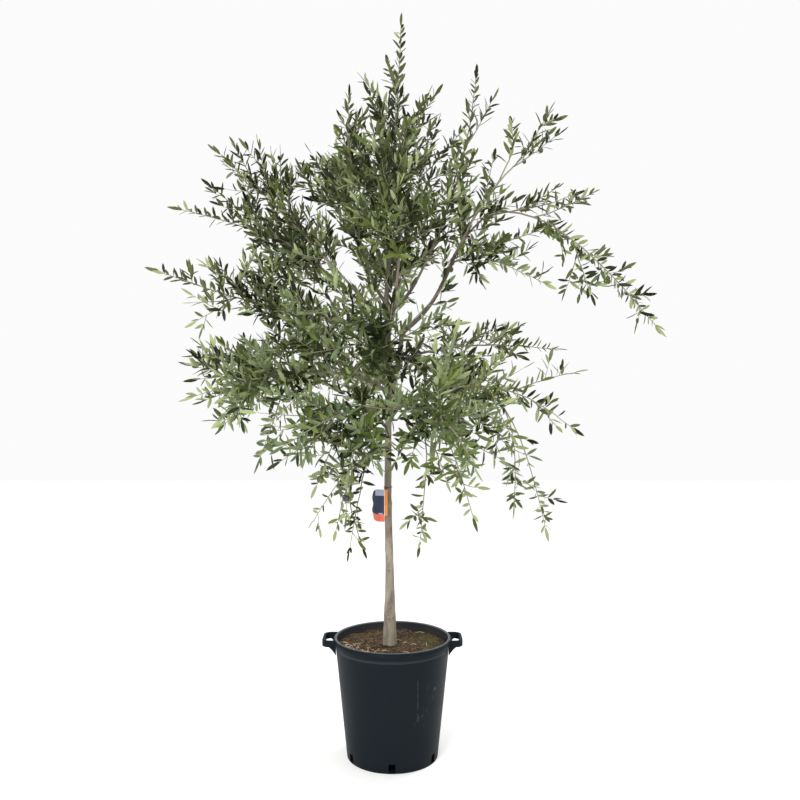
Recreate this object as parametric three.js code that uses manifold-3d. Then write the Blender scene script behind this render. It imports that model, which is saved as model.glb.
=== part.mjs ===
// Potted olive tree: a young standard olive with a clear trunk and an open crown of arching shoots,
// growing in a round nursery container with two grab handles.
//
// Millimetres, +Z up, +X to the right and -Y towards the front.
// The origin is the middle of the container's flat underside.
//
// Places in the crown are given as [reach, heading, height]: the distance from the container's axis,
// the compass turn from +X towards +Y in degrees, and the height above the underside.

import * as THREE from "three";
import { mergeVertices } from "three/addons/utils/BufferGeometryUtils.js";
import Module from "manifold-3d";

const wasm = await Module();
wasm.setup();

// ---- Driving dimensions: container ---------------------------------------------------------------

const GAP = 0.3; // left between pieces that touch
const SLIVER = 0.05; // edges and steps under this are taken out of a joined solid
const MERGE_STEPS = [1e-3, 1e-4]; // distances at which vertices may be merged later
const UP = new THREE.Vector3(0, 0, 1);

const POT = {
  height: 382,
  footRadius: 148,
  neckRadius: 185,
  rimRadius: 193,
  rimHeight: 17.5,
  rimBevel: 5,
  lipWidth: 8,
  footBevel: 6,
  wall: 3.5,
  floor: 5,
  segments: 40,
};
const NOTCH = { count: 6, width: 22, bottom: 3, top: 30, depth: 24 };
const HANDLE = { reach: 33, length: 108, height: 21, bar: 9, corner: 20 };
const RIB = { reach: 11, hollow: 8, drop: 27, thick: 5 }; // under each leg of a handle
const SOIL = { belowRim: 21, moundRadius: 75, moundRise: 2.5, wallGap: 0.6 };

// ---- Driving dimensions: trunk and boughs --------------------------------------------------------

const SOIL_TOP = POT.height - SOIL.belowRim;
const TRUNK = {
  // Middle of the trunk at six heights, from the soil to the fork.
  sway: [
    [-8.5, -19, SOIL_TOP + GAP],
    [-8.7, -18.6, 584],
    [-14, -8, 807],
    [-14, 2, 1030],
    [-9.5, 5, 1253],
    [-22, 0, 1475],
  ],
  baseRadius: 13.8,
  forkRadius: 8.5,
  flareRadius: 8,
  flareHeight: 160,
  sides: 12,
  steps: 16,
};
const BOUGH_SIDES = 6;
const BOUGH_STEPS = 4;
const LIMB_STIFFNESS = 0.36; // share of a limb's span over which it keeps its first and last direction

// name, what it leaves, where (height on the trunk, or share of its parent's length), pitch there,
// tip, pitch at the tip, radius at the foot, radius at the tip
const BOUGHS = [
  ["bough_top", "trunk", 1462, 88, [14, 140, 1610], 86, 7.6, 5],
  ["bough_upper_left", "trunk", 1432, 12, [135, 185, 1520], 48, 7, 5],
  ["bough_top_right", "trunk", 1425, 38, [80, 346, 1535], 62, 6.4, 4.8],
  ["bough_top_left", "trunk", 1466, 50, [80, 160, 1565], 70, 5.6, 4.6],
  ["bough_right_stem", "trunk", 1150, 74, [32, 345, 1375], 86, 9.5, 7.4],
  ["bough_right_arch", "bough_right_stem", 0.97, 36, [176, 356, 1562], 70, 7, 5.4],
  ["bough_right_high", "bough_right_arch", 0.8, 50, [208, 345, 1612], 60, 4.8, 4.4],
  ["bough_right_mid", "bough_right_stem", 0.55, 30, [125, 21, 1310], 12, 5, 4.4],
  ["bough_front_high", "trunk", 1385, 40, [95, 277, 1500], 58, 6, 4.6],
  ["bough_front_mid", "trunk", 1235, 30, [110, 262, 1300], 20, 6, 4.6],
  ["bough_back_mid", "trunk", 1360, 30, [115, 88, 1440], 35, 6.4, 4.8],
  ["bough_back_high", "bough_top", 0.2, 40, [75, 79, 1590], 60, 5, 4.4],
  ["bough_left_high", "bough_upper_left", 0.5, 20, [190, 166, 1540], 42, 4.8, 4.4],
  ["bough_left_mid", "trunk", 1345, 26, [125, 180, 1400], 8, 6.4, 4.8],
  ["bough_left_low", "trunk", 1255, 25, [115, 160, 1300], 6, 6, 4.6],
  ["bough_low_left", "trunk", 1172, 25, [145, 222, 1220], 10, 6.6, 4.8],
  ["bough_back_low_right", "trunk", 1205, 22, [135, 59, 1250], 10, 6.2, 4.6],
  ["bough_back_low_left", "trunk", 1185, 22, [135, 118, 1230], 10, 6.2, 4.6],
  ["bough_low_right", "trunk", 1118, 36, [125, 342, 1170], 18, 6.6, 4.8],
  ["bough_low_front_right", "trunk", 1098, 20, [130, 284, 1130], 8, 6.4, 4.8],
  ["bough_low_front_left", "trunk", 1078, 24, [130, 250, 1118], 8, 6.4, 4.8],
];

// ---- Driving dimensions: masses of foliage -------------------------------------------------------

// name, what carries it, tip of its stem, how far the stem keeps its first direction, length of its
// side shoots, how much they rise, how many there are, how many fruits, and its long leading shoots,
// each as share of the stem where it leaves, the place of its tip and, where it isn't LEADER.keep,
// how far it keeps its first direction
const MASSES = [
  ["top", "bough_top", [30, 0, 2415], 0.4, 150, 0.3, 5, 0, [
    [0.22, [175, 340, 2160]],
    [0.35, [95, 139, 2140]],
    [0.28, [135, 10, 2190], 0.3],
  ]],
  ["top_left", "bough_top_left", [150, 164, 2200], 0.4, 200, 0.2, 6, 1, [
    [0.25, [295, 172, 1880]],
    [0.5, [120, 150, 2130]],
  ]],
  ["top_right", "bough_top_right", [275, 356, 2240], 0.45, 160, 0.2, 5, 0, [
    [0.12, [285, 345, 1745], 0.3],
  ]],
  ["right_high", "bough_right_high", [530, 353, 2020], 0.4, 170, 0.1, 5, 1, [
    [0.5, [385, 3, 2085]],
    [0.2, [400, 340, 1790]],
    [0.04, [345, 348, 1555]],
  ]],
  ["right_arch", "bough_right_arch", [875, 356, 1345], 0.64, 220, 0.1, 7, 3, [
    [0.4, [635, 2, 1840]],
    [0.03, [530, 345, 1490], 0.22],
    [0.02, [400, 354, 1585], 0.15],
  ]],
  ["right_mid", "bough_right_mid", [590, 6, 1315], 0.4, 160, 0.05, 4, 1, [
    [0.15, [290, 5, 1375]],
  ]],
  ["low_right", "bough_low_right", [610, 349, 1035], 0.45, 170, -0.1, 4, 0, [
    [0.3, [500, 351, 700], 0.25],
    [0.2, [390, 347, 770]],
  ]],
  ["low_front_right", "bough_low_front_right", [660, 289, 985], 0.45, 230, 0.1, 7, 0, [
    [0.15, [310, 284, 685]],
    [0.3, [425, 305, 775]],
    [0.45, [560, 296, 930]],
  ]],
  ["low_front_left", "bough_low_front_left", [605, 238, 1005], 0.45, 200, 0.1, 6, 0, [
    [0.25, [370, 231, 860]],
    [0.12, [285, 241, 765]],
    [0.1, [340, 266, 930]],
  ]],
  ["low_left", "bough_low_left", [710, 213, 1145], 0.4, 220, 0, 7, 1, [
    [0.3, [610, 212, 1065]],
    [0.4, [670, 204, 1205]],
  ]],
  ["left_low", "bough_left_low", [710, 175, 1295], 0.4, 200, 0.05, 6, 0, [
    [0.2, [450, 172, 1420]],
  ]],
  ["left_mid", "bough_left_mid", [810, 180, 1585], 0.4, 170, 0.1, 5, 1, [
    [0.25, [500, 186, 1490]],
    [0.3, [520, 176, 1600]],
  ]],
  ["left_high", "bough_left_high", [765, 174, 1800], 0.4, 180, 0.1, 5, 0, [
    [0.3, [640, 176, 1885], 0.3],
    [0.2, [430, 182, 1715], 0.25],
    [0.08, [250, 192, 1640], 0.25],
  ]],
  ["upper_left", "bough_upper_left", [595, 184, 1975], 0.4, 190, 0.1, 6, 1, [
    [0.35, [330, 199, 1890]],
    [0.12, [275, 190, 1735], 0.25],
  ]],
  ["front_high", "bough_front_high", [425, 264, 1835], 0.4, 220, 0.2, 7, 1, [
    [0.3, [415, 290, 1730]],
  ]],
  ["front_mid", "bough_front_mid", [470, 258, 1400], 0.4, 220, 0.1, 7, 0, [
    [0.2, [400, 284, 1340]],
    [0.1, [360, 268, 1160]],
  ]],
  ["back_high", "bough_back_high", [360, 68, 2155], 0.45, 200, 0.2, 5, 0, []],
  ["back_mid", "bough_back_mid", [640, 91, 1755], 0.4, 240, 0.1, 6, 0, [
    [0.3, [600, 127, 1805]],
    [0.4, [560, 59, 1765]],
  ]],
  ["back_low_left", "bough_back_low_left", [775, 133, 1150], 0.45, 240, -0.05, 6, 0, []],
  ["back_low_right", "bough_back_low_right", [680, 60, 1170], 0.45, 240, -0.05, 6, 0, []],
  ["trunk_sprig", "trunk", [100, 218, 635], 0.5, 140, -0.4, 3, 0, []],
];
const SPRIG = { height: 985, heading: 205, pitch: -5 }; // where the sprig leaves the trunk's bark

// Openings in the crown that are seen through from in front, by an eye at EYE: place across,
// height, half width and half height of each, where it crosses the middle of the crown.
const EYE = new THREE.Vector3(24, -2660, 1150);
const WINDOWS = [
  [370, 1462, 190, 62],
  [115, 1515, 45, 50],
  [-120, 1560, 30, 35],
  [420, 1895, 100, 56],
  [300, 1995, 45, 55],
  [555, 1904, 50, 35],
  [-305, 2000, 125, 55],
];

const STEM = { footRadius: 4.4, tipRadius: 2, steps: 5, firstLeaf: 0.12 };
const LEADER = { footRadius: 3, tipRadius: 1.8, steps: 3, firstLeaf: 0.3, keep: 0.45 };
const SHOOT = { footRadius: 2.8, tipRadius: 1.8, steps: 1, firstLeaf: 0.3, first: 0.04, last: 0.85 };
const SPREAD = { least: 38, most: 66 }; // degrees between a side shoot and its stem
const GOLDEN_TURN = 137.5;
const TRIES_PER_SHOOT = 2;

const LEAF = {
  length: 122,
  width: 46,
  thick: 2.8,
  spacing: 150,
  spread: 48,
  twist: 75,
  vary: 0.22,
  sizes: [1, 0.7], // tried in turn where there is little room
  coreSizes: [1.35, 1, 0.7], // the same in the core, where a leaf stands for more of them
};
// The dense core of the crown, as an ellipsoid.
const CORE = { middle: new THREE.Vector3(-90, -20, 1450), radii: new THREE.Vector3(400, 450, 530) };
const FRUIT = { radius: 10, stretch: 1.25 };
const SPACE_MARGIN = 2; // how much nearer its own stem than any other a point of a mass has to be
const LIMB_MARGIN = 3; // air between foliage and the bark of a limb

// ---- Driving dimensions: plant label -------------------------------------------------------------

const LABEL = { top: 861, height: 104, width: 38, thick: 1, strip: 11, curl: 20, clear: 5, steps: 5 };
const LABEL_CORNERS = { radius: 17, steps: 5 }; // of the flap's free side
const TIE = { height: 868, thick: 1.2, clear: 0.6 };

// ---- Materials -----------------------------------------------------------------------------------

function finish(color, roughness, metalness = 0) {
  return new THREE.MeshStandardMaterial({ color, roughness, metalness });
}

const POT_PLASTIC = finish(0x2a2f35, 0.62);
const POTTING_SOIL = finish(0x5b4433, 0.95);
const BARK = finish(0x8c8072, 0.9);
const FOLIAGE = finish(0x66784f, 0.6);
const LABEL_CARD = finish(0x1f2b46, 0.5);
const TIE_PLASTIC = finish(0x3a4048, 0.6);

// ---- Solids: to and from the boolean library -----------------------------------------------------

function toSolid(geometry) {
  const bare = geometry.clone();
  bare.deleteAttribute("normal");
  bare.deleteAttribute("uv");
  const merged = mergeVertices(bare, 1e-4);
  return new wasm.Manifold(new wasm.Mesh({
    numProp: 3,
    vertProperties: new Float32Array(merged.attributes.position.array),
    triVerts: new Uint32Array(merged.index.array),
  }));
}

function toGeometry(solid) {
  const mesh = solid.getMesh();
  const geometry = new THREE.BufferGeometry();
  geometry.setAttribute("position", new THREE.BufferAttribute(mesh.vertProperties, 3));
  geometry.setIndex(new THREE.BufferAttribute(mesh.triVerts, 1));
  geometry.computeVertexNormals();
  return geometry;
}

// The largest body, without edges shorter than SLIVER: scraps are dropped and sealed hollows filled.
function biggest(solid) {
  const bodies = solid.simplify(SLIVER).decompose();
  return bodies.reduce((best, next) => (next.volume() > best.volume() ? next : best));
}

// True where every edge of a solid is shared by just two faces, once its vertices are merged.
function isSound(solid) {
  let geometry = toGeometry(biggest(solid));
  geometry.deleteAttribute("normal");
  return MERGE_STEPS.every((step) => {
    geometry = mergeVertices(geometry, step);
    const corners = geometry.index.array;
    const shared = new Map();
    for (let face = 0; face < corners.length; face += 3) {
      const ends = [corners[face], corners[face + 1], corners[face + 2]];
      if (new Set(ends).size < 3) continue;
      ends.forEach((from, index) => {
        const to = ends[(index + 1) % 3];
        const edge = `${Math.min(from, to)} ${Math.max(from, to)}`;
        shared.set(edge, (shared.get(edge) ?? 0) + 1);
      });
    }
    return [...shared.values()].every((faces) => faces === 2);
  });
}

function named(name, solid, material) {
  const mesh = new THREE.Mesh(toGeometry(biggest(solid)), material);
  mesh.name = name;
  return mesh;
}

// A solid of revolution about +Z from a profile of [radius, height] corners.
function turned(profile, segments) {
  const corners = profile.map(([radius, height]) => new THREE.Vector2(radius, height));
  return toSolid(new THREE.LatheGeometry(corners, segments).rotateX(Math.PI / 2));
}

// A flat outline, drawn in plan and drawn up between two heights.
function raised(shape, bottom, height) {
  const settings = { depth: height, bevelEnabled: false, curveSegments: 12 };
  return toSolid(new THREE.ExtrudeGeometry(shape, settings).translate(0, 0, bottom));
}

// ---- Container -----------------------------------------------------------------------------------

// Outer side from the underside up to the top of the rim, moved out by clear.
function outerProfile(clear) {
  const rimFoot = POT.height - POT.rimHeight;
  return [
    [POT.footRadius - POT.footBevel + clear, 0],
    [POT.footRadius + clear, POT.footBevel],
    [POT.neckRadius + clear, rimFoot - clear],
    [POT.rimRadius + clear, rimFoot - clear],
    [POT.rimRadius + clear, POT.height - POT.rimBevel],
    [POT.rimRadius - POT.rimBevel + clear, POT.height],
  ];
}

// Radius of the inner wall, moved in by clear, at a height.
function innerRadius(height, clear) {
  const share = (height - POT.footBevel) / (POT.height - POT.rimHeight - POT.footBevel);
  const outer = POT.footRadius + (POT.neckRadius - POT.footRadius) * share;
  return outer - POT.wall - clear;
}

function potSolid() {
  const lip = POT.rimRadius - POT.rimBevel - POT.lipWidth;
  const shell = turned([
    [0, 0],
    ...outerProfile(0),
    [lip, POT.height],
    [innerRadius(POT.height - POT.rimHeight, 0), POT.height - POT.rimHeight],
    [innerRadius(POT.floor, 0), POT.floor],
    [0, POT.floor],
  ], POT.segments);
  const notches = Array.from({ length: NOTCH.count }, (_, index) => {
    const notch = new THREE.BoxGeometry(NOTCH.depth, NOTCH.width, NOTCH.top - NOTCH.bottom);
    notch.translate(POT.footRadius, 0, (NOTCH.top + NOTCH.bottom) / 2);
    return toSolid(notch.rotateZ(Math.PI / 2 + (index * 2 * Math.PI) / NOTCH.count));
  });
  return notches.reduce((pot, notch) => pot.subtract(notch), shell);
}

function soilSolid() {
  const edge = SOIL_TOP - SOIL.moundRise;
  const floor = POT.floor + GAP;
  return turned([
    [0, floor],
    [innerRadius(floor, SOIL.wallGap), floor],
    [innerRadius(edge, SOIL.wallGap), edge],
    [SOIL.moundRadius, SOIL_TOP],
    [0, SOIL_TOP],
  ], POT.segments);
}

// One grab handle: a bar held off the rim by two legs, with a rib under each leg.
// side is 1 for the handle at +X and -1 for the one at -X.
function handleSolid(side) {
  const half = HANDLE.length / 2;
  const out = POT.rimRadius + HANDLE.reach;
  const inside = POT.neckRadius;
  const plan = new THREE.Shape();
  plan.moveTo(inside, -half);
  plan.lineTo(out - HANDLE.corner, -half);
  plan.lineTo(out, -half + HANDLE.corner);
  plan.lineTo(out, half - HANDLE.corner);
  plan.lineTo(out - HANDLE.corner, half);
  plan.lineTo(inside, half);
  plan.lineTo(inside, half - HANDLE.bar);
  plan.lineTo(out - HANDLE.corner * 0.8, half - HANDLE.bar);
  plan.lineTo(out - HANDLE.bar, half - HANDLE.corner);
  plan.lineTo(out - HANDLE.bar, -half + HANDLE.corner);
  plan.lineTo(out - HANDLE.corner * 0.8, -half + HANDLE.bar);
  plan.lineTo(inside, -half + HANDLE.bar);
  plan.closePath();
  const foot = POT.height - HANDLE.height;
  const loop = raised(plan, foot, HANDLE.height);

  const rib = new THREE.Shape();
  rib.moveTo(inside - 5, foot + 1);
  rib.lineTo(POT.rimRadius + RIB.reach, foot + 1);
  rib.quadraticCurveTo(inside + RIB.hollow, foot - RIB.hollow, inside - 5, foot - RIB.drop);
  rib.closePath();
  const ribs = [-1, 1].map((end) => {
    const settings = { depth: RIB.thick, bevelEnabled: false, curveSegments: 4 };
    const upright = new THREE.ExtrudeGeometry(rib, settings);
    upright.rotateX(Math.PI / 2);
    return toSolid(upright.translate(0, end * (half - HANDLE.bar / 2) + RIB.thick / 2, 0));
  });
  const potSpace = turned([[0, 0], ...outerProfile(GAP), [0, POT.height + 1]], POT.segments);
  const handle = loop.add(ribs[0]).add(ribs[1]);
  const faced = side > 0 ? handle : handle.rotate([0, 0, 180]);
  return faced.subtract(potSpace);
}

// ---- Limbs ---------------------------------------------------------------------------------------

function place([reach, heading, height]) {
  const turn = THREE.MathUtils.degToRad(heading);
  return new THREE.Vector3(reach * Math.cos(turn), reach * Math.sin(turn), height);
}

// Unit direction that heads level from one place towards another and is then pitched up.
function aim(from, to, pitch) {
  const level = new THREE.Vector3(to.x - from.x, to.y - from.y, 0).normalize();
  const tilt = THREE.MathUtils.degToRad(pitch);
  return level.multiplyScalar(Math.cos(tilt)).addScaledVector(UP, Math.sin(tilt));
}

// A unit vector square to a direction, level where the direction allows it.
function across(direction) {
  const side = new THREE.Vector3().crossVectors(UP, direction);
  if (side.length() < 0.05) side.set(1, 0, 0);
  return side.addScaledVector(direction, -side.dot(direction)).normalize();
}

// A closed tube along a curve; radiusAt gives its radius at a share of the curve.
function tube(curve, radiusAt, sides, steps) {
  const positions = [];
  const index = [];
  let side = across(curve.getTangent(0));
  for (let step = 0; step <= steps; step += 1) {
    const share = step / steps;
    const tangent = curve.getTangent(share);
    side = side.clone().addScaledVector(tangent, -side.dot(tangent)).normalize();
    const normal = new THREE.Vector3().crossVectors(tangent, side);
    const centre = curve.getPoint(share);
    for (let corner = 0; corner < sides; corner += 1) {
      const turn = (corner / sides) * 2 * Math.PI;
      const radius = radiusAt(share);
      const point = centre.clone().addScaledVector(side, radius * Math.cos(turn));
      positions.push(...point.addScaledVector(normal, radius * Math.sin(turn)).toArray());
    }
  }
  for (let step = 0; step < steps; step += 1) {
    for (let corner = 0; corner < sides; corner += 1) {
      const a = step * sides + corner;
      const b = step * sides + ((corner + 1) % sides);
      index.push(a, b, b + sides, a, b + sides, a + sides);
    }
  }
  const last = steps * sides;
  for (let corner = 1; corner < sides - 1; corner += 1) {
    index.push(0, corner + 1, corner);
    index.push(last, last + corner, last + corner + 1);
  }
  const geometry = new THREE.BufferGeometry();
  geometry.setAttribute("position", new THREE.Float32BufferAttribute(positions, 3));
  geometry.setIndex(index);
  return toSolid(geometry);
}

function taper(foot, tip) {
  return (share) => foot + (tip - foot) * share;
}

function trunkRadius(share) {
  const height = share * (TRUNK.sway.at(-1)[2] - TRUNK.sway[0][2]);
  const flare = TRUNK.flareRadius * Math.exp(-((height / TRUNK.flareHeight) ** 2));
  return TRUNK.forkRadius + (TRUNK.baseRadius - TRUNK.forkRadius) * (1 - share) + flare;
}

// Share of a limb's curve at which it reaches a height.
function shareAtHeight(curve, height) {
  let low = 0;
  let high = 1;
  for (let round = 0; round < 30; round += 1) {
    const middle = (low + high) / 2;
    if (curve.getPoint(middle).z < height) low = middle;
    else high = middle;
  }
  return low;
}

// Every limb, by name: its curve, its radius along the curve, and its sides and steps as a tube.
const limbs = new Map();

function makeTrunk() {
  const curve = new THREE.CatmullRomCurve3(TRUNK.sway.map((point) => new THREE.Vector3(...point)));
  limbs.set("trunk", { curve, radiusAt: trunkRadius, sides: TRUNK.sides, steps: TRUNK.steps });
}

function makeBough([name, parent, where, leave, tip, arrive, foot, end]) {
  const parentCurve = limbs.get(parent).curve;
  const share = parent === "trunk" ? shareAtHeight(parentCurve, where) : where;
  const start = parentCurve.getPoint(share);
  const last = place(tip);
  const keep = start.distanceTo(last) * LIMB_STIFFNESS;
  const curve = new THREE.CubicBezierCurve3(
    start,
    start.clone().addScaledVector(aim(start, last, leave), keep),
    last.clone().addScaledVector(aim(start, last, arrive), -keep),
    last,
  );
  limbs.set(name, { curve, radiusAt: taper(foot, end), sides: BOUGH_SIDES, steps: BOUGH_STEPS });
}

// A limb as a solid, made thicker and longer by clear.
function limbSolid(name, clear = 0) {
  const { curve, radiusAt, sides, steps } = limbs.get(name);
  const grown = clear === 0 ? curve : lengthened(curve, clear);
  const wider = clear / Math.cos(Math.PI / sides);
  return tube(grown, (share) => radiusAt(share) + wider, sides, steps);
}

// The same curve with its ends moved out by clear, along the directions that they point in.
function lengthened(curve, clear) {
  const longer = curve.clone();
  const first = curve.getTangent(0).multiplyScalar(-clear);
  const last = curve.getTangent(1).multiplyScalar(clear);
  if (longer.points) {
    longer.points[0].add(first);
    longer.points.at(-1).add(last);
  } else {
    longer.v0.add(first);
    longer.v3.add(last);
  }
  return longer;
}

// Every limb cut clear of the limbs that were made before it.
function limbMeshes() {
  const names = [...limbs.keys()];
  return names.map((name, index) => {
    let solid = limbSolid(name);
    for (const earlier of names.slice(0, index)) solid = solid.subtract(limbSolid(earlier, GAP));
    return named(name, solid, BARK);
  });
}

// ---- Growth of the crown -------------------------------------------------------------------------

// A repeatable stream of numbers from 0 to 1.
function draws(seed) {
  let state = Math.imul(seed + 1, 2654435761) >>> 0;
  return () => {
    state = (Math.imul(state, 1664525) + 1013904223) >>> 0;
    return state / 4294967296;
  };
}

function pointsAlong(curve, count) {
  return Array.from({ length: count + 1 }, (_, index) => curve.getPoint(index / count));
}

// Where a mass's stem starts and the direction that it starts in, just clear of what carries it.
function stemFoot(carrier) {
  const { curve } = limbs.get(carrier);
  if (carrier !== "trunk") {
    const direction = curve.getTangent(1);
    return { start: curve.getPoint(1).addScaledVector(direction, GAP), direction };
  }
  const share = shareAtHeight(curve, SPRIG.height);
  const middle = curve.getPoint(share);
  const turn = THREE.MathUtils.degToRad(SPRIG.heading);
  const outward = middle.clone().add(new THREE.Vector3(Math.cos(turn), Math.sin(turn), 0));
  const direction = aim(middle, outward, SPRIG.pitch);
  const bark = trunkRadius(share) + GAP + 0.5;
  return { start: middle.addScaledVector(direction, bark), direction };
}

// A line that bends from a first direction towards a tip, and stops short of it by its last leaf.
function bent(start, direction, keep, tip) {
  const elbow = start.clone().addScaledVector(direction, start.distanceTo(tip) * keep);
  const last = tip.clone().sub(elbow).normalize();
  return new THREE.QuadraticBezierCurve3(start, elbow, tip.clone().addScaledVector(last, -LEAF.length));
}

// The stem of a mass and its leading shoots: the lines that claim the mass's space.
function makeFrame([name, carrier, tip, keep, length, rise, count, fruits, leads], index) {
  const { start, direction } = stemFoot(carrier);
  const stem = bent(start, direction, keep, place(tip));
  const leaders = leads.map(([share, leadTip, leadKeep = LEADER.keep]) => (
    bent(stem.getPoint(share), stem.getTangent(share), leadKeep, place(leadTip))
  ));
  const lines = [stem, ...leaders].flatMap((curve) => pointsAlong(curve, 24));
  return { name, index, stem, leaders, lines, length, rise, count, fruits, shoots: [] };
}

function nearest(point, points) {
  return Math.sqrt(points.reduce((best, other) => Math.min(best, point.distanceToSquared(other)), Infinity));
}

function inCore(point) {
  return point.clone().sub(CORE.middle).divide(CORE.radii).length() < 1;
}

// True where a point would close one of the openings in the crown.
function inWindow(point) {
  const scale = -EYE.y / (point.y - EYE.y);
  const x = EYE.x + (point.x - EYE.x) * scale;
  const z = EYE.z + (point.z - EYE.z) * scale;
  return WINDOWS.some(([across, height, half, tall]) => (
    Math.hypot((x - across) / half, (z - height) / tall) < 1
  ));
}

// True where a point is in a mass's own space and clear of every limb.
function isFree(point, mass, masses, limbPoints) {
  const own = nearest(point, mass.lines) + SPACE_MARGIN;
  const crowded = masses.some((other) => other !== mass && nearest(point, other.lines) < own);
  if (crowded) return false;
  return limbPoints.every(([centre, radius]) => point.distanceTo(centre) > radius + LIMB_MARGIN);
}

// Unit direction that leaves a line at an angle, on the side that roll turns to.
function offshoot(tangent, roll, spread) {
  const side = across(tangent);
  const normal = new THREE.Vector3().crossVectors(tangent, side);
  const turn = THREE.MathUtils.degToRad(roll);
  const lean = THREE.MathUtils.degToRad(spread);
  const radial = side.multiplyScalar(Math.cos(turn)).addScaledVector(normal, Math.sin(turn));
  return tangent.clone().multiplyScalar(Math.cos(lean)).addScaledVector(radial, Math.sin(lean));
}

// Side shoots leave the stem round a golden spiral, shorter towards its tip.
function growShoots(mass, masses, limbPoints) {
  const draw = draws(mass.index);
  const tries = mass.count * TRIES_PER_SHOOT;
  for (let attempt = 0; attempt < tries && mass.shoots.length < mass.count; attempt += 1) {
    const step = (attempt * 0.618 + 0.25 * draw()) % 1;
    const share = SHOOT.first + (SHOOT.last - SHOOT.first) * step;
    const spread = SPREAD.least + (SPREAD.most - SPREAD.least) * draw();
    const size = mass.length * (1.2 - 0.85 * share) * (0.75 + 0.5 * draw());
    const start = mass.stem.getPoint(share);
    const way = offshoot(mass.stem.getTangent(share), attempt * GOLDEN_TURN + mass.index * 50, spread);
    const elbow = start.clone().addScaledVector(way, size * 0.5);
    const tip = start.clone().addScaledVector(way, size).addScaledVector(UP, mass.rise * size);
    const curve = new THREE.QuadraticBezierCurve3(start, elbow, tip);
    const trail = pointsAlong(curve, 5).slice(1);
    if (trail.every((point) => isFree(point, mass, masses, limbPoints))) mass.shoots.push(curve);
  }
}

// ---- Leaves and fruit ----------------------------------------------------------------------------

// A lens-shaped blade of eight faces from its root along a direction, its face towards facing.
function blade(root, along, facing, length, width) {
  const normal = facing.clone().addScaledVector(along, -facing.dot(along)).normalize();
  const side = new THREE.Vector3().crossVectors(normal, along);
  const place = new THREE.Matrix4().makeBasis(
    along.clone().multiplyScalar(length / 2),
    side.clone().multiplyScalar(width / 2),
    normal.multiplyScalar(LEAF.thick / 2),
  );
  place.setPosition(root.clone().addScaledVector(along, length / 2));
  return toSolid(new THREE.OctahedronGeometry(1, 0).applyMatrix4(place));
}

// Points along the middle and both edges of a blade, to test whether it has room.
function bladePoints(root, along, side, length, width) {
  const middle = [0.35, 0.55, 0.75, 1].map((share) => root.clone().addScaledVector(along, length * share));
  const edges = [-0.5, 0.5].map((half) => (
    root.clone().addScaledVector(along, length * 0.5).addScaledVector(side, width * half)
  ));
  return [...middle, ...edges];
}

// Pairs of leaves, each pair turned a quarter from the one before, and one leaf at the tip.
function leavesOn(curve, firstLeaf, draw) {
  const leafy = curve.getLength() * (1 - firstLeaf);
  const pairs = Math.max(1, Math.round(leafy / LEAF.spacing));
  const leaves = [];
  for (let pair = 0; pair < pairs; pair += 1) {
    const share = firstLeaf + (1 - firstLeaf) * ((pair + 0.35) / pairs);
    const tangent = curve.getTangent(share);
    const roll = pair * 90 + 40 * draw();
    for (const half of [0, 180]) {
      const along = offshoot(tangent, roll + half, LEAF.spread + 14 * (draw() - 0.5));
      const facing = offshoot(tangent, 360 * draw(), LEAF.twist * draw());
      leaves.push({ at: curve.getPoint(share + half / 18000), along, facing, size: draw() });
    }
  }
  const along = curve.getTangent(0.98);
  const facing = offshoot(along, 360 * draw(), 90);
  leaves.push({ at: curve.getPoint(0.98), along, facing, size: draw() });
  return leaves;
}

// True where a solid runs into any of the others.
function crosses(solid, others) {
  return others.some((other) => !solid.intersect(other).isEmpty());
}

function foliageSolid(mass, masses, limbPoints) {
  const draw = draws(mass.index + 100);
  const lines = [
    [mass.stem, STEM],
    ...mass.leaders.map((curve) => [curve, LEADER]),
    ...mass.shoots.filter((curve) => !inWindow(curve.getPoint(1))).map((curve) => [curve, SHOOT]),
  ];
  const twigs = lines.map(([curve, kind]) => (
    tube(curve, taper(kind.footRadius, kind.tipRadius), 3, kind.steps)
  ));
  let solid = wasm.Manifold.union(twigs);
  const leaves = [];
  const leafRoots = [];
  lines.forEach(([curve, kind], line) => {
    const otherTwigs = twigs.filter((_, index) => index !== line);
    for (const { at, along, facing, size } of leavesOn(curve, kind.firstLeaf, draw)) {
      const side = new THREE.Vector3().crossVectors(facing, along).normalize();
      for (const scale of inCore(at) ? LEAF.coreSizes : LEAF.sizes) {
        const length = scale * LEAF.length * (1 + LEAF.vary * (size - 0.5));
        const width = scale * LEAF.width * (1 + LEAF.vary * (size - 0.5));
        const points = bladePoints(at, along, side, length, width);
        if (inWindow(points[1])) continue;
        if (!points.every((point) => isFree(point, mass, masses, limbPoints))) continue;
        const leaf = blade(at, along, facing, length, width);
        if (crosses(leaf, otherTwigs) || crosses(leaf, leaves)) continue;
        const joined = solid.add(leaf);
        if (!isSound(joined)) continue;
        solid = joined;
        leaves.push(leaf);
        leafRoots.push(at);
        break;
      }
    }
  });
  for (let fruit = 0; fruit < mass.fruits; fruit += 1) {
    const at = leafRoots[Math.floor(((fruit + 0.5) / mass.fruits) * leafRoots.length)];
    const ball = new THREE.IcosahedronGeometry(FRUIT.radius, 0).scale(1, 1, FRUIT.stretch);
    ball.translate(at.x, at.y, at.z - FRUIT.radius * FRUIT.stretch * 0.8);
    const joined = solid.add(toSolid(ball));
    if (isSound(joined)) solid = joined;
  }
  return solid;
}

// ---- Plant label ---------------------------------------------------------------------------------

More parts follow.
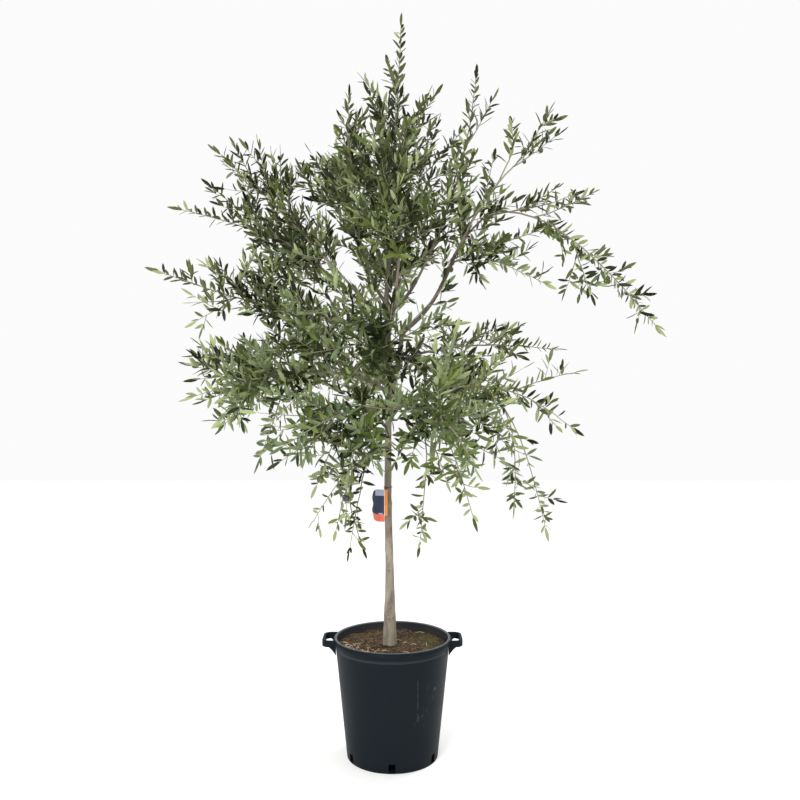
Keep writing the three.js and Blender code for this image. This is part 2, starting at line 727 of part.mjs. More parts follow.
// A card that hangs against the trunk: a narrow strip in front and a wide flap that curls away.
function labelSolid() {
  const { curve, radiusAt } = limbs.get("trunk");
  const share = shareAtHeight(curve, LABEL.top - LABEL.height / 2);
  const middle = curve.getPoint(share);
  const clear = radiusAt(share) + LABEL.clear;
  const fold = new THREE.Vector2(-clear * 0.75, -clear * 0.8);
  const flap = new THREE.QuadraticBezierCurve(
    fold,
    new THREE.Vector2(fold.x - LABEL.width / 2, fold.y),
    new THREE.Vector2(fold.x - LABEL.width, fold.y + LABEL.curl),
  );
  const front = [new THREE.Vector2(fold.x + LABEL.strip, -clear), ...flap.getPoints(LABEL.steps)];
  const back = front.map((point) => new THREE.Vector2(point.x, point.y + LABEL.thick)).reverse();
  const sheet = raised(new THREE.Shape([...front, ...back]), LABEL.top - LABEL.height, LABEL.height);
  const left = fold.x - LABEL.width - 1;
  const right = front[0].x + 1;
  const low = LABEL.top - LABEL.height;
  const { radius, steps } = LABEL_CORNERS;
  const face = new THREE.Shape();
  face.moveTo(right, low);
  face.lineTo(right, LABEL.top);
  face.lineTo(left + radius, LABEL.top);
  face.quadraticCurveTo(left, LABEL.top, left, LABEL.top - radius);
  face.lineTo(left, low + radius);
  face.quadraticCurveTo(left, low, left + radius, low);
  face.closePath();
  const depth = 2 * (clear + LABEL.curl);
  const block = new THREE.ExtrudeGeometry(face, { depth, bevelEnabled: false, curveSegments: steps });
  block.rotateX(Math.PI / 2).translate(0, depth / 2, 0);
  const card = sheet.intersect(toSolid(block));
  return card.translate([middle.x, middle.y, 0]);
}

// A loop of thin strap round the trunk, just above the label.
function tieSolid() {
  const { curve, radiusAt } = limbs.get("trunk");
  const share = shareAtHeight(curve, TIE.height);
  const middle = curve.getPoint(share);
  const ring = new THREE.TorusGeometry(radiusAt(share) + TIE.thick + TIE.clear, TIE.thick, 5, 12);
  return toSolid(ring.translate(middle.x, middle.y, TIE.height));
}

// ---- Assembly ------------------------------------------------------------------------------------

makeTrunk();
BOUGHS.forEach(makeBough);

const limbPoints = [...limbs.values()].flatMap(({ curve, radiusAt }) => (
  Array.from({ length: 61 }, (_, index) => [curve.getPoint(index / 60), radiusAt(index / 60)])
));
const masses = MASSES.map(makeFrame);
masses.forEach((mass) => growShoots(mass, masses, limbPoints));

const tree = new THREE.Group();
tree.add(named("pot", potSolid(), POT_PLASTIC));
tree.add(named("handle_right", handleSolid(1), POT_PLASTIC));
tree.add(named("handle_left", handleSolid(-1), POT_PLASTIC));
tree.add(named("soil", soilSolid(), POTTING_SOIL));
tree.add(...limbMeshes());
masses.forEach((mass) => {
  tree.add(named(`foliage_${mass.name}`, foliageSolid(mass, masses, limbPoints), FOLIAGE));
});
tree.add(named("plant_label", labelSolid(), LABEL_CARD));
tree.add(named("label_tie", tieSolid(), TIE_PLASTIC));

export default tree;
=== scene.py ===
import functools
import math
from collections import namedtuple

import bmesh
import bpy
import numpy as np
from bpy.props import FloatProperty, FloatVectorProperty, IntProperty, PointerProperty
from mathutils import Euler, Matrix, Vector, kdtree, noise


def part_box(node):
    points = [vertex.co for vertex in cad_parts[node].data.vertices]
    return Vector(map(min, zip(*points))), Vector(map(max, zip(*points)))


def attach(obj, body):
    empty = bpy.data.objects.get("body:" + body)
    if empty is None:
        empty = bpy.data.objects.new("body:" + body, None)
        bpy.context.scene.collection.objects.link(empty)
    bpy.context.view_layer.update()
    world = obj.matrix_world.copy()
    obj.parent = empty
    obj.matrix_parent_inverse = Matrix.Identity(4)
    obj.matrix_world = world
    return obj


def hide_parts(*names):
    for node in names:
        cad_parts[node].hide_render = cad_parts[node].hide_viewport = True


bl_info = {
    "name": "Potted Olive Tree",
    "version": (1, 0, 0),
    "blender": (4, 5, 0),
    "location": "3D View > Sidebar > Olive Tree",
    "description": "Bark, foliage, fruit, pot and soil of a young standard olive tree",
    "category": "Add Mesh",
}

# Metres, +Z up, +X to the right and -Y towards the front. The origin is the middle of the pot's
# underside. Places in the crown are (reach, heading, height): the distance from the pot's axis, the
# turn from +X towards +Y in degrees, and the height above the underside.

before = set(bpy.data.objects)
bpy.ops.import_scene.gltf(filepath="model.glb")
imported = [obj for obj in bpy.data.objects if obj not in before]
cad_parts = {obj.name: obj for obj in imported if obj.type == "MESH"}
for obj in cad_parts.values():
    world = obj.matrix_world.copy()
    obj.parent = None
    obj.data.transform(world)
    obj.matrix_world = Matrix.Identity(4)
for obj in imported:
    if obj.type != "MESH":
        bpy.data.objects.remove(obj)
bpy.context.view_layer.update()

UP = Vector((0, 0, 1))
SIDE = Vector((1, 0, 0))
GAP = 0.0003  # between the solids of the frame

POT_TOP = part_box("pot")[1][2]
RIM_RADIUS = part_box("pot")[1][0]
HANDLE_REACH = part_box("handle_right")[1][0]
HANDLE_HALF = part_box("handle_right")[1][1]
SOIL_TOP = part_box("soil")[1][2]
SOIL_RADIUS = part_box("soil")[1][0]
LABEL_LOW, LABEL_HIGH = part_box("plant_label")

# ---- Sizes of the pot and the soil ---------------------------------------------------------------

RIM_BAND = 0.0175  # height of the band round the rim
NECK_RADIUS = 0.185
FOOT_RADIUS = 0.148
WALL = 0.0035
LIP_WIDTH = 0.008
POT_FLOOR = 0.005
NOTCH = {"count": 6, "width": 0.022, "bottom": 0.003, "top": 0.03, "depth": 0.024, "round": 0.002}
HANDLE_BAR = {"width": 0.009, "height": 0.021, "corner": 0.02, "round": 0.0024}
RIB = {"reach": 0.011, "hollow": 0.008, "drop": 0.027, "thick": 0.005}  # under a leg of a handle
RIM_EDGE = 0.005  # bevel of the rim's outer edge
MOUND_RISE = 0.0025
MOUND_RADIUS = 0.075
SOIL_DEPTH = 0.06  # of the bed that is built under the surface
SOIL_MESH = {"rings": 34, "sides": 96}
TRUNK_CLEAR = 0.028  # how far litter stays from the middle of the trunk
LITTER = {"front_chips": 90, "straws": 9, "front_straws": 16, "tufts": 110}
CHIP_OUTLINE = ((1, 0.6), (0.5, 1), (-0.7, 1), (-1, -0.5), (-0.2, -1), (0.9, -0.7))

# The plant label: a narrow strip in front of the trunk and a flap that curls away beside it
CARD = {"thick": 0.001, "clear": 0.005, "strip": 0.011, "line": 0.0015, "bulge": 0.019,
        "flap": (-0.038, 0.020, 0), "shorter": 0.02, "corner": 0.017, "rows": 26, "columns": 16}
TIE = {"thick": 0.0012, "gap": 0.0018, "steps": 40, "sides": 8}

# ---- Sizes of the trunk and the boughs -----------------------------------------------------------

TRUNK_SWAY = (
    (-0.0085, -0.019, SOIL_TOP + GAP),
    (-0.0087, -0.0186, 0.584),
    (-0.014, -0.008, 0.807),
    (-0.014, 0.002, 1.030),
    (-0.0095, 0.005, 1.253),
    (-0.022, 0, 1.475),
)
TRUNK_BASE = 0.0138
TRUNK_FORK = 0.0085
FLARE = {"radius": 0.008, "height": 0.16}
LIMB_STIFFNESS = 0.36  # share of a limb's span over which it keeps its first and last direction

# name: what it leaves, where (height on the trunk, or share of its parent), pitch there, tip,
# pitch at the tip, radius at the foot, radius at the tip
BOUGHS = {
    "bough_top": ("trunk", 1.462, 88, (0.014, 140, 1.610), 86, 0.0076, 0.005),
    "bough_upper_left": ("trunk", 1.432, 12, (0.135, 185, 1.520), 48, 0.007, 0.005),
    "bough_top_right": ("trunk", 1.425, 38, (0.080, 346, 1.535), 62, 0.0064, 0.0048),
    "bough_top_left": ("trunk", 1.466, 50, (0.080, 160, 1.565), 70, 0.0056, 0.0046),
    "bough_right_stem": ("trunk", 1.150, 74, (0.032, 345, 1.375), 86, 0.0095, 0.0074),
    "bough_right_arch": ("bough_right_stem", 0.97, 36, (0.176, 356, 1.562), 70, 0.0070, 0.0054),
    "bough_right_high": ("bough_right_arch", 0.8, 50, (0.208, 345, 1.612), 60, 0.0048, 0.0044),
    "bough_right_mid": ("bough_right_stem", 0.55, 30, (0.125, 21, 1.310), 12, 0.005, 0.0044),
    "bough_front_high": ("trunk", 1.385, 40, (0.095, 277, 1.500), 58, 0.006, 0.0046),
    "bough_front_mid": ("trunk", 1.235, 30, (0.110, 262, 1.300), 20, 0.006, 0.0046),
    "bough_back_mid": ("trunk", 1.360, 30, (0.115, 88, 1.440), 35, 0.0064, 0.0048),
    "bough_back_high": ("bough_top", 0.2, 40, (0.075, 79, 1.590), 60, 0.005, 0.0044),
    "bough_left_high": ("bough_upper_left", 0.5, 20, (0.190, 166, 1.540), 42, 0.0048, 0.0044),
    "bough_left_mid": ("trunk", 1.345, 26, (0.125, 180, 1.400), 8, 0.0064, 0.0048),
    "bough_left_low": ("trunk", 1.255, 25, (0.115, 160, 1.300), 6, 0.006, 0.0046),
    "bough_low_left": ("trunk", 1.172, 25, (0.145, 222, 1.220), 10, 0.0066, 0.0048),
    "bough_back_low_right": ("trunk", 1.205, 22, (0.135, 59, 1.250), 10, 0.0062, 0.0046),
    "bough_back_low_left": ("trunk", 1.185, 22, (0.135, 118, 1.230), 10, 0.0062, 0.0046),
    "bough_low_right": ("trunk", 1.118, 36, (0.125, 342, 1.170), 18, 0.0066, 0.0048),
    "bough_low_front_right": ("trunk", 1.098, 20, (0.130, 284, 1.130), 8, 0.0064, 0.0048),
    "bough_low_front_left": ("trunk", 1.078, 24, (0.130, 250, 1.118), 8, 0.0064, 0.0048),
}
# limb, share along it, heading, pitch, length, radius of the pruned stubs
STUBS = (
    ("bough_right_stem", 0.97, 190, 84, 0.040, 0.0034),
    ("bough_right_arch", 0.10, 20, 88, 0.034, 0.0032),
    ("trunk", 0.76, 150, 35, 0.024, 0.0042),
    ("trunk", 0.62, 80, 30, 0.020, 0.0040),
)
# height, heading and size of the knots where side shoots were taken off the trunk
KNOTS = (
    (0.445, 262, 0.009),
    (0.520, 80, 0.010),
    (0.607, 300, 0.008),
    (0.668, 190, 0.009),
    (0.742, 245, 0.010),
    (0.815, 20, 0.008),
    (0.905, 285, 0.009),
    (0.972, 140, 0.010),
    (1.040, 255, 0.009),
)

# ---- Sizes of the crown --------------------------------------------------------------------------

# name: what carries it, tip of its stem, how far the stem keeps its first direction, length of its
# side shoots, how much they rise, how many there are, and its long leading shoots, each as the share
# of the stem where it leaves, the place of its tip and, where it isn't LEADER_KEEP, how far it keeps
# its first direction
MASSES = {
    "top": ("bough_top", (0.030, 0, 2.415), 0.4, 0.150, 0.3, 5,
            ((0.22, (0.175, 340, 2.160)), (0.35, (0.095, 139, 2.140)), (0.28, (0.135, 10, 2.190), 0.3))),
    "top_left": ("bough_top_left", (0.150, 164, 2.200), 0.4, 0.200, 0.2, 6,
                 ((0.25, (0.295, 172, 1.880)), (0.5, (0.120, 150, 2.130)))),
    "top_right": ("bough_top_right", (0.275, 356, 2.240), 0.45, 0.160, 0.2, 5,
                  ((0.12, (0.285, 345, 1.745), 0.3),)),
    "right_high": ("bough_right_high", (0.530, 353, 2.020), 0.4, 0.170, 0.1, 5,
                   ((0.5, (0.385, 3, 2.085)), (0.2, (0.400, 340, 1.790)), (0.04, (0.345, 348, 1.555)))),
    "right_arch": ("bough_right_arch", (0.875, 356, 1.345), 0.64, 0.220, 0.1, 7,
                   ((0.4, (0.635, 2, 1.840)), (0.03, (0.530, 345, 1.490), 0.22),
                    (0.02, (0.400, 354, 1.585), 0.15))),
    "right_mid": ("bough_right_mid", (0.590, 6, 1.315), 0.4, 0.160, 0.05, 4,
                  ((0.15, (0.290, 5, 1.375)),)),
    "low_right": ("bough_low_right", (0.610, 349, 1.035), 0.45, 0.170, -0.1, 4,
                  ((0.3, (0.500, 351, 0.700), 0.25), (0.2, (0.390, 347, 0.770)))),
    "low_front_right": ("bough_low_front_right", (0.660, 289, 0.985), 0.45, 0.230, 0.1, 7,
                        ((0.15, (0.310, 284, 0.685)), (0.3, (0.425, 305, 0.775)),
                         (0.45, (0.560, 296, 0.930)))),
    "low_front_left": ("bough_low_front_left", (0.605, 238, 1.005), 0.45, 0.200, 0.1, 6,
                       ((0.25, (0.370, 231, 0.860)), (0.12, (0.285, 241, 0.765)),
                        (0.1, (0.340, 266, 0.930)))),
    "low_left": ("bough_low_left", (0.710, 213, 1.145), 0.4, 0.220, 0, 7,
                 ((0.3, (0.610, 212, 1.065)), (0.4, (0.670, 204, 1.205)))),
    "left_low": ("bough_left_low", (0.710, 175, 1.295), 0.4, 0.200, 0.05, 6,
                 ((0.2, (0.450, 172, 1.420)),)),
    "left_mid": ("bough_left_mid", (0.810, 180, 1.585), 0.4, 0.170, 0.1, 5,
                 ((0.25, (0.500, 186, 1.490)), (0.3, (0.520, 176, 1.600)))),
    "left_high": ("bough_left_high", (0.765, 174, 1.800), 0.4, 0.180, 0.1, 5,
                  ((0.3, (0.640, 176, 1.885), 0.3), (0.2, (0.430, 182, 1.715), 0.25),
                   (0.08, (0.250, 192, 1.640), 0.25))),
    "upper_left": ("bough_upper_left", (0.595, 184, 1.975), 0.4, 0.190, 0.1, 6,
                   ((0.35, (0.330, 199, 1.890)), (0.12, (0.275, 190, 1.735), 0.25))),
    "front_high": ("bough_front_high", (0.425, 264, 1.835), 0.4, 0.220, 0.2, 7,
                   ((0.3, (0.415, 290, 1.730)),)),
    "front_mid": ("bough_front_mid", (0.470, 258, 1.400), 0.4, 0.220, 0.1, 7,
                  ((0.2, (0.400, 284, 1.340)), (0.1, (0.360, 268, 1.160)))),
    "back_high": ("bough_back_high", (0.360, 68, 2.155), 0.45, 0.200, 0.2, 5, ()),
    "back_mid": ("bough_back_mid", (0.640, 91, 1.755), 0.4, 0.240, 0.1, 6,
                 ((0.3, (0.600, 127, 1.805)), (0.4, (0.560, 59, 1.765)))),
    "back_low_left": ("bough_back_low_left", (0.775, 133, 1.150), 0.45, 0.240, -0.05, 6, ()),
    "back_low_right": ("bough_back_low_right", (0.680, 60, 1.170), 0.45, 0.240, -0.05, 6, ()),
    "trunk_sprig": ("trunk", (0.100, 218, 0.635), 0.5, 0.140, -0.4, 3, ()),
}
SPRIG = {"height": 0.985, "heading": 205, "pitch": -5}
CROWN_PARTS = {
    "top": ("top", "top_left", "top_right", "back_high"),
    "left": ("upper_left", "left_high", "left_mid", "left_low"),
    "right": ("right_high", "right_arch", "right_mid"),
    "front": ("front_high", "front_mid", "low_right", "low_front_right", "low_front_left", "low_left",
              "trunk_sprig"),
    "back": ("back_mid", "back_low_left", "back_low_right"),
}

SOLID_LEAF = 0.122  # length of a leaf of the frame's solids, which ends each of their twigs
LEADER_KEEP = 0.45
SHOOT_SHARES = (0.04, 0.85)  # where along a stem the side shoots leave it
SPREAD = (38, 66)  # degrees between a side shoot and its stem
GOLDEN_TURN = 137.5
TRIES_PER_SHOOT = 2
SPACE_MARGIN = 0.002
LIMB_MARGIN = 0.003
FINE_SPACE_MARGIN = -0.03  # the fine twigs of neighbours may reach this far into each other
STEM_RADII = (0.0044, 0.0011)
LEADER_RADII = (0.0030, 0.0010)
SHOOT_RADII = (0.0024, 0.0009)
TWIG_RADII = (0.0014, 0.0007)
TWIG = {"first": 0.06, "last": 0.93, "rise": 0.22, "shrink": 0.72, "spread": (34, 60)}
CURVE_STEP = 0.001
ROUTE_STEP = 0.02

# The old wood of the crown: its twigs are many and long inside it and few and short beyond it.
CORE = {"middle": (-0.09, -0.02, 1.45), "radii": (0.40, 0.45, 0.53), "fade": 0.35, "outer": 0.1}
# A shoot that hangs down is bare for a long way and bears a tuft of twigs at its end. Below a height
# the leaves are smaller and have the tints of those at a share of the crown's climb, darker than the
# tints at the crown's foot, which is painted shade on the hanging tufts.
TUFT = {"from": 0.62, "drop": -0.45, "share": 0.7, "bare": 0.5, "height": 0.95, "leaf": 0.84,
        "climb": 0.5}
# Where the level camera stands, from which the crown's openings are seen through
EYE = (0.0244, -2.66, 1.15)
# The openings, as seen at the trunk: middle (across, height), half width and half height
WINDOWS = (
    (0.370, 1.462, 0.190, 0.062),
    (0.115, 1.515, 0.045, 0.050),
    (-0.120, 1.560, 0.030, 0.035),
    (0.420, 1.895, 0.100, 0.056),
    (0.300, 1.995, 0.045, 0.055),
    (0.555, 1.904, 0.050, 0.035),
    (-0.305, 2.000, 0.125, 0.055),
)
# Places where the crown is thin, given in the same way, each with the share of leaves that are there
THIN = (
    (0.070, 1.500, 0.110, 0.080, 0.50),
    (-0.090, 1.500, 0.110, 0.060, 0.60),
    (0.035, 1.385, 0.060, 0.060, 0.40),
    (0.155, 1.345, 0.060, 0.060, 0.65),
    (0.154, 1.865, 0.060, 0.060, 0.55),
    (-0.106, 1.995, 0.060, 0.060, 0.70),
    (0.545, 1.475, 0.070, 0.060, 0.15),
    (-0.496, 0.955, 0.060, 0.060, 0.20),
    (0.545, 1.085, 0.060, 0.060, 0.60),
    (-0.366, 1.085, 0.065, 0.060, 0.50),
    (0.415, 1.085, 0.060, 0.060, 0.30),
    (0.480, 0.955, 0.110, 0.060, 0.30),
    (-0.106, 0.825, 0.060, 0.060, 0.40),
    (-0.236, 0.825, 0.075, 0.065, 0.55),
    (-0.170, 0.700, 0.100, 0.050, 0.60),
    (0.285, 0.825, 0.060, 0.060, 0.45),
    (0.545, 1.215, 0.060, 0.060, 0.50),
    (0.415, 1.865, 0.060, 0.060, 0.50),
    (-0.236, 1.995, 0.055, 0.060, 0.10),
    (-0.236, 0.955, 0.060, 0.060, 0.65),
    (0.154, 0.825, 0.060, 0.060, 0.35),
    (-0.620, 1.460, 0.060, 0.060, 0.50),
    (-0.520, 1.865, 0.060, 0.060, 0.60),
    (0.285, 1.345, 0.060, 0.060, 0.60),
    (0.415, 1.215, 0.060, 0.060, 0.60),
    (0.155, 0.955, 0.060, 0.060, 0.65),
    (0.545, 1.865, 0.065, 0.060, 0.50),
    (0.545, 1.605, 0.060, 0.060, 0.40),
)

# mass, line (0 is the stem), share along it, green olives, ripe olives
OLIVES = (
    ("top_left", 0, 0.34, 5, 0),
    ("right_high", 0, 0.08, 4, 0),
    ("right_arch", 0, 0.05, 4, 0),
    ("right_arch", 0, 0.50, 3, 0),
    ("right_arch", 0, 0.57, 4, 0),
    ("right_arch", 0, 0.65, 4, 0),
    ("right_arch", 0, 0.73, 3, 0),
    ("right_high", 0, 0.76, 0, 1),
    ("right_high", 0, 0.94, 0, 1),
    ("upper_left", 0, 0.30, 2, 1),
    ("left_mid", 0, 0.55, 2, 0),
    ("low_left", 0, 0.60, 2, 1),
    ("low_front_left", 1, 0.86, 3, 1),
    ("low_front_left", 2, 0.80, 2, 2),
    ("low_right", 0, 0.62, 2, 1),
    ("low_front_right", 1, 0.62, 1, 1),
    ("back_mid", 1, 0.60, 3, 0),
    ("back_low_left", 0, 0.55, 3, 1),
    ("back_low_right", 0, 0.60, 2, 1),
    ("back_high", 0, 0.50, 2, 0),
)


def tone(code):
    """Linear red, green and blue of a colour written as six hexadecimal digits."""
    parts = [int(code[at:at + 2], 16) / 255 for at in (0, 2, 4)]
    return tuple(part / 12.92 if part <= 0.04045 else ((part + 0.055) / 1.055) ** 2.4 for part in parts)


def scaled(colour, *scale):
    """A colour whose parts are multiplied by one number, or by one each, up to full strength."""
    return tuple(min(1, part * by) for part, by in zip(colour, scale if len(scale) == 3 else scale * 3))


# ---- Settings that a user would change -----------------------------------------------------------


def colour(name, description, code):
    return FloatVectorProperty(name=name, description=description, subtype="COLOR", size=3,
                               min=0, max=1, default=tone(code))


def length(name, description, value, low=0.0, high=10.0):
    return FloatProperty(name=name, description=description, default=value, min=low, max=high,
                         subtype="DISTANCE", unit="LENGTH")


class OlivePotSettings(bpy.types.PropertyGroup):
    plastic: colour("Plastic", "Moulded plastic of the pot and its handles", "10171d")
    # Pale dust on the pot; a dim share of this colour is also painted light on the pot's inner wall.
    dust_and_inner_light: colour("Dust", "Pale dust on the rim and in the scuffs", "7d8186")
    soil: colour("Soil", "Damp potting soil", "4b3b29")
    chip: colour("Chips", "Bark chips on the soil", "6a5841")
    straw: colour("Straw", "Dry straw and pale splinters on the soil", "cdbb93")
    moss: colour("Moss", "Moss on one side of the soil", "535831")
    chips: IntProperty(name="Chip count", description="Bark chips on the soil", default=560, min=0)
    chip_size: length("Chip size", "Length of a bark chip", 0.014, 0.002, 0.05)


class OliveBarkSettings(bpy.types.PropertyGroup):
    bark: colour("Bark", "Young bark of the trunk", "847d72")
    crack: colour("Cracks", "Fissures and pores of the bark", "352e28")
    twig: colour("Twigs", "Green-grey skin of the shoots", "918b74")
    relief: length("Relief", "How far the bark's ridges stand out", 0.0009, 0.0, 0.01)


class OliveFoliageSettings(bpy.types.PropertyGroup):
    leaf_length: length("Leaf length", "Length of a grown leaf", 0.051, 0.01, 0.2)
    leaf_width: length("Leaf width", "Width of a grown leaf", 0.0124, 0.002, 0.08)
    leaf_thickness: length("Leaf thickness", "Thickness of a leaf at its midrib", 0.0008, 0.0001, 0.01)
    leaf_pitch: length("Leaf spacing", "Distance between two pairs of leaves", 0.0160, 0.005, 0.2)
    twig_pitch: length("Twig spacing", "Distance between two fine twigs on a shoot", 0.0325, 0.01, 0.5)
    twig_length: length("Twig length", "Length of a fine twig near the foot of a shoot", 0.150, 0.01, 1)
    olive_length: length("Olive length", "Length of an olive", 0.0205, 0.005, 0.1)
    # dark and mist are dealt by height in TINTS: the dark leaves high in the crown are partly painted
    # shade, the pale mist leaves low are partly painted light.
    dark: colour("Dark leaves", "Upper face of the old leaves", "1e240b")
    deep: colour("Blue-green leaves", "Upper face of leaves in shade", "242f18")
    sage: colour("Sage leaves", "Upper face of most leaves", "404b22")
    olive: colour("Olive leaves", "Upper face of leaves in sun", "52602b")
    young: colour("Young leaves", "Both faces of the newest leaves", "667238")
    mist: colour("Pale leaves", "Upper face of the pale leaves low in the crown", "64724f")
    silver: colour("Silver undersides", "Underside of most leaves", "939e70")
    grey: colour("Grey undersides", "Underside of leaves in shade", "575e38")
    green_fruit: colour("Green olives", "Skin of the olives that aren't ripe", "4c5e1c")
    ripe_fruit: colour("Ripe olives", "Skin of the ripe olives", "2b2530")


class OliveLabelSettings(bpy.types.PropertyGroup):
    card: colour("Card", "Main field of the plant label", "222c4a")
    corner: colour("Corner", "Top corner of the plant label", "a9acc0")
    foot: colour("Foot", "Lower end of the plant label", "e06a55")
    strip: colour("Strip", "Narrow strip along the plant label", "f0892a")
    line: colour("Line", "Thin line between the strip and the card", "e9e9ee")
    tie: colour("Tie", "Strap that holds the plant label", "3a4048")


class OliveStageSettings(bpy.types.PropertyGroup):
    floor: colour("Floor", "Plain pale floor", "f4f4f3")
    sky: FloatProperty(name="Sky light", description="Strength of the even light", default=0.97, min=0)
    key: FloatProperty(name="Key light", description="Strength of the soft lamp above the camera",
                       default=135.0, min=0, subtype="POWER", unit="POWER")
    lens: FloatProperty(name="Lens", description="Focal length of the camera", default=36.8, min=1,
                        subtype="DISTANCE_CAMERA")


# ---- Materials -----------------------------------------------------------------------------------


class Link:
    """An output of a shader node. An expression with it adds the Math nodes that work it out."""

    def __init__(self, finish, socket):
        self.finish = finish
        self.socket = socket

    def work(self, operation, first, second):
        return self.finish.add("ShaderNodeMath", {"operation": operation}, {0: first, 1: second})

    def __add__(self, other):
        return self.work("ADD", self, other)

    def __sub__(self, other):
        return self.work("SUBTRACT", self, other)

    def __rsub__(self, other):
        return self.work("SUBTRACT", other, self)

    def __mul__(self, other):
        return self.work("MULTIPLY", self, other)

    __radd__ = __add__
    __rmul__ = __mul__

    def between(self, low, high):
        """0 below low, 1 above high and a smooth step between them."""
        settings = {"interpolation_type": "SMOOTHSTEP"}
        return self.finish.add("ShaderNodeMapRange", settings, {0: self, 1: low, 2: high})


class Finish:
    """A material: its main shader and the nodes that feed it."""

    def __init__(self, name, base, roughness, specular=0.5, coat=0.0):
        self.material = bpy.data.materials.new(name)
        self.material.use_nodes = True
        self.material.diffuse_color = (*base, 1)
        self.nodes = self.material.node_tree.nodes
        self.shader = self.nodes["Principled BSDF"]
        self.feed("Base Color", (*base, 1))
        self.feed("Roughness", roughness)
        self.feed("Specular IOR Level", specular)
        self.feed("Coat Weight", coat)

    def feed(self, name, value):
        self.join(self.shader.inputs[name], value)

    def join(self, socket, value):
        if isinstance(value, Link):
            self.material.node_tree.links.new(value.socket, socket)
        elif isinstance(value, tuple) and len(value) == 3 and socket.type == "RGBA":
            socket.default_value = (*value, 1)
        else:
            socket.default_value = value

    def add(self, kind, settings=None, sockets=None, output=0):
        """Adds a node, sets it up, then fills its sockets, and gives one of its outputs."""
        node = self.nodes.new(kind)
        for name, value in (settings or {}).items():
            setattr(node, name, value)
        for name, value in (sockets or {}).items():
            self.join(node.inputs[name], value)
        return Link(self, node.outputs[output])

    def place(self, stretch=(1, 1, 1)):
        """Where a point is on the object, in metres, with each axis scaled by stretch."""
        spot = self.add("ShaderNodeTexCoord", output="Object")
        return self.add("ShaderNodeVectorMath", {"operation": "MULTIPLY"}, {0: spot, 1: stretch})

    def grain(self, scale, detail=3.0, stretch=(1, 1, 1), rough=0.55):
        """Noise from 0 to 1 whose patches are about 1/scale metres wide."""
        sockets = {"Vector": self.place(stretch), "Scale": scale, "Detail": detail, "Roughness": rough}
        return self.add("ShaderNodeTexNoise", None, sockets)

    def cells(self, scale, stretch=(1, 1, 1), feature="F1"):
        sockets = {"Vector": self.place(stretch), "Scale": scale}
        return self.add("ShaderNodeTexVoronoi", {"feature": feature}, sockets)

    def axis(self, name):
        return self.add("ShaderNodeSeparateXYZ", None, {0: self.place()}, name)

    def across(self):
        return self.axis("X")

    def height(self):
        """How high a point is above the floor."""
        return self.axis("Z")

    def reach(self):
        """How far a point is from the pot's axis."""
        flat = self.place((1, 1, 0))
        return self.add("ShaderNodeVectorMath", {"operation": "LENGTH"}, {0: flat}, "Value")

    def near(self, spot, radius):
        """1 at a spot and 0 from a radius round it outwards."""
        sockets = {0: self.place(), 1: spot}
        away = self.add("ShaderNodeVectorMath", {"operation": "DISTANCE"}, sockets, "Value")
        return away.between(radius, 0)

    def tint(self, share, first, second):
        """The first colour where share is 0 and the second where it is 1."""
        settings = {"data_type": "RGBA", "clamp_factor": True}
        return self.add("ShaderNodeMix", settings, {0: share, 6: first, 7: second}, 2)

    def relief(self, height, strength, distance):
        sockets = {"Height": height, "Strength": strength, "Distance": distance}
        self.feed("Normal", self.add("ShaderNodeBump", None, sockets))


SCUFFS = ((0.136, -0.12, 0.245), (0.095, -0.145, 0.17))  # the pot's rubbed spots, the second fainter
SCUFF_RADIUS = 0.05
SCRATCH = {"left": 0.0775, "right": 0.0812, "edge": 0.0012, "low": 0.15, "high": 0.3, "fade": 0.02}


def plastic_finish(settings):
    """The pot's plastic, made once for the pot and its handles."""
    made = bpy.data.materials.get("moulded_plastic")
    if made:
        return made
    base, dust_and_inner_light = tuple(settings.plastic), tuple(settings.dust_and_inner_light)
    finish = Finish("moulded_plastic", base, 0.5, specular=0.075)
    cloud = finish.grain(9, 4)
    smear = finish.grain(100, 6, (1, 1, 0.5), 0.85).between(0.5, 0.66)
    strong, faint = (finish.near(spot, SCUFF_RADIUS) for spot in SCUFFS)
    rubbed = strong + faint * 0.6
    scuff = smear * rubbed * 0.26
    across, height = finish.across(), finish.height()
    left, right, low, high = (SCRATCH[side] for side in ("left", "right", "low", "high"))
    edge, fade = SCRATCH["edge"], SCRATCH["fade"]
    scratch = across.between(left, left + edge) * across.between(right, right - edge)
    scratch = scratch * height.between(low, low + fade) * height.between(high, high - fade)
    scratch = scratch * finish.axis("Y").between(0, -0.05) * finish.grain(60, 3).between(0.3, 0.6)
    specks = finish.cells(150).between(0.1, 0.04) * finish.grain(30).between(0.5, 0.62)
    reach = finish.reach()
    top = height.between(POT_TOP - 0.004, POT_TOP - 0.001)
    ring = top * reach.between(RIM_RADIUS - 0.0035, RIM_RADIUS - 0.0075) * (cloud * 0.6 + 0.35)
    # Painted light: the inner wall just under the soil line takes a dim share of the dust colour, a painted
    # reflection that lightens the inner wall where it lies in shadow.
    inside = height.between(SOIL_TOP - 0.015, SOIL_TOP - 0.01)
    inside = inside * reach.between(NECK_RADIUS - 0.0002, NECK_RADIUS - 0.002)
    worn = scuff + scratch * 0.13 + specks * 0.45 + ring * 0.85
    shaded = finish.tint(cloud * 0.5, base, tuple(0.72 * part + 0.004 for part in base))
    with_painted_inner_light = finish.tint(inside, shaded, scaled(dust_and_inner_light, 0.16))
    finish.feed("Base Color", finish.tint(worn, with_painted_inner_light, dust_and_inner_light))
    finish.feed("Roughness", cloud * 0.16 + worn * 0.25 + 0.42)
    finish.relief(finish.grain(700, 2) * 0.5 + finish.grain(60, 3) * 0.5, 0.16, 0.0006)
    return finish.material


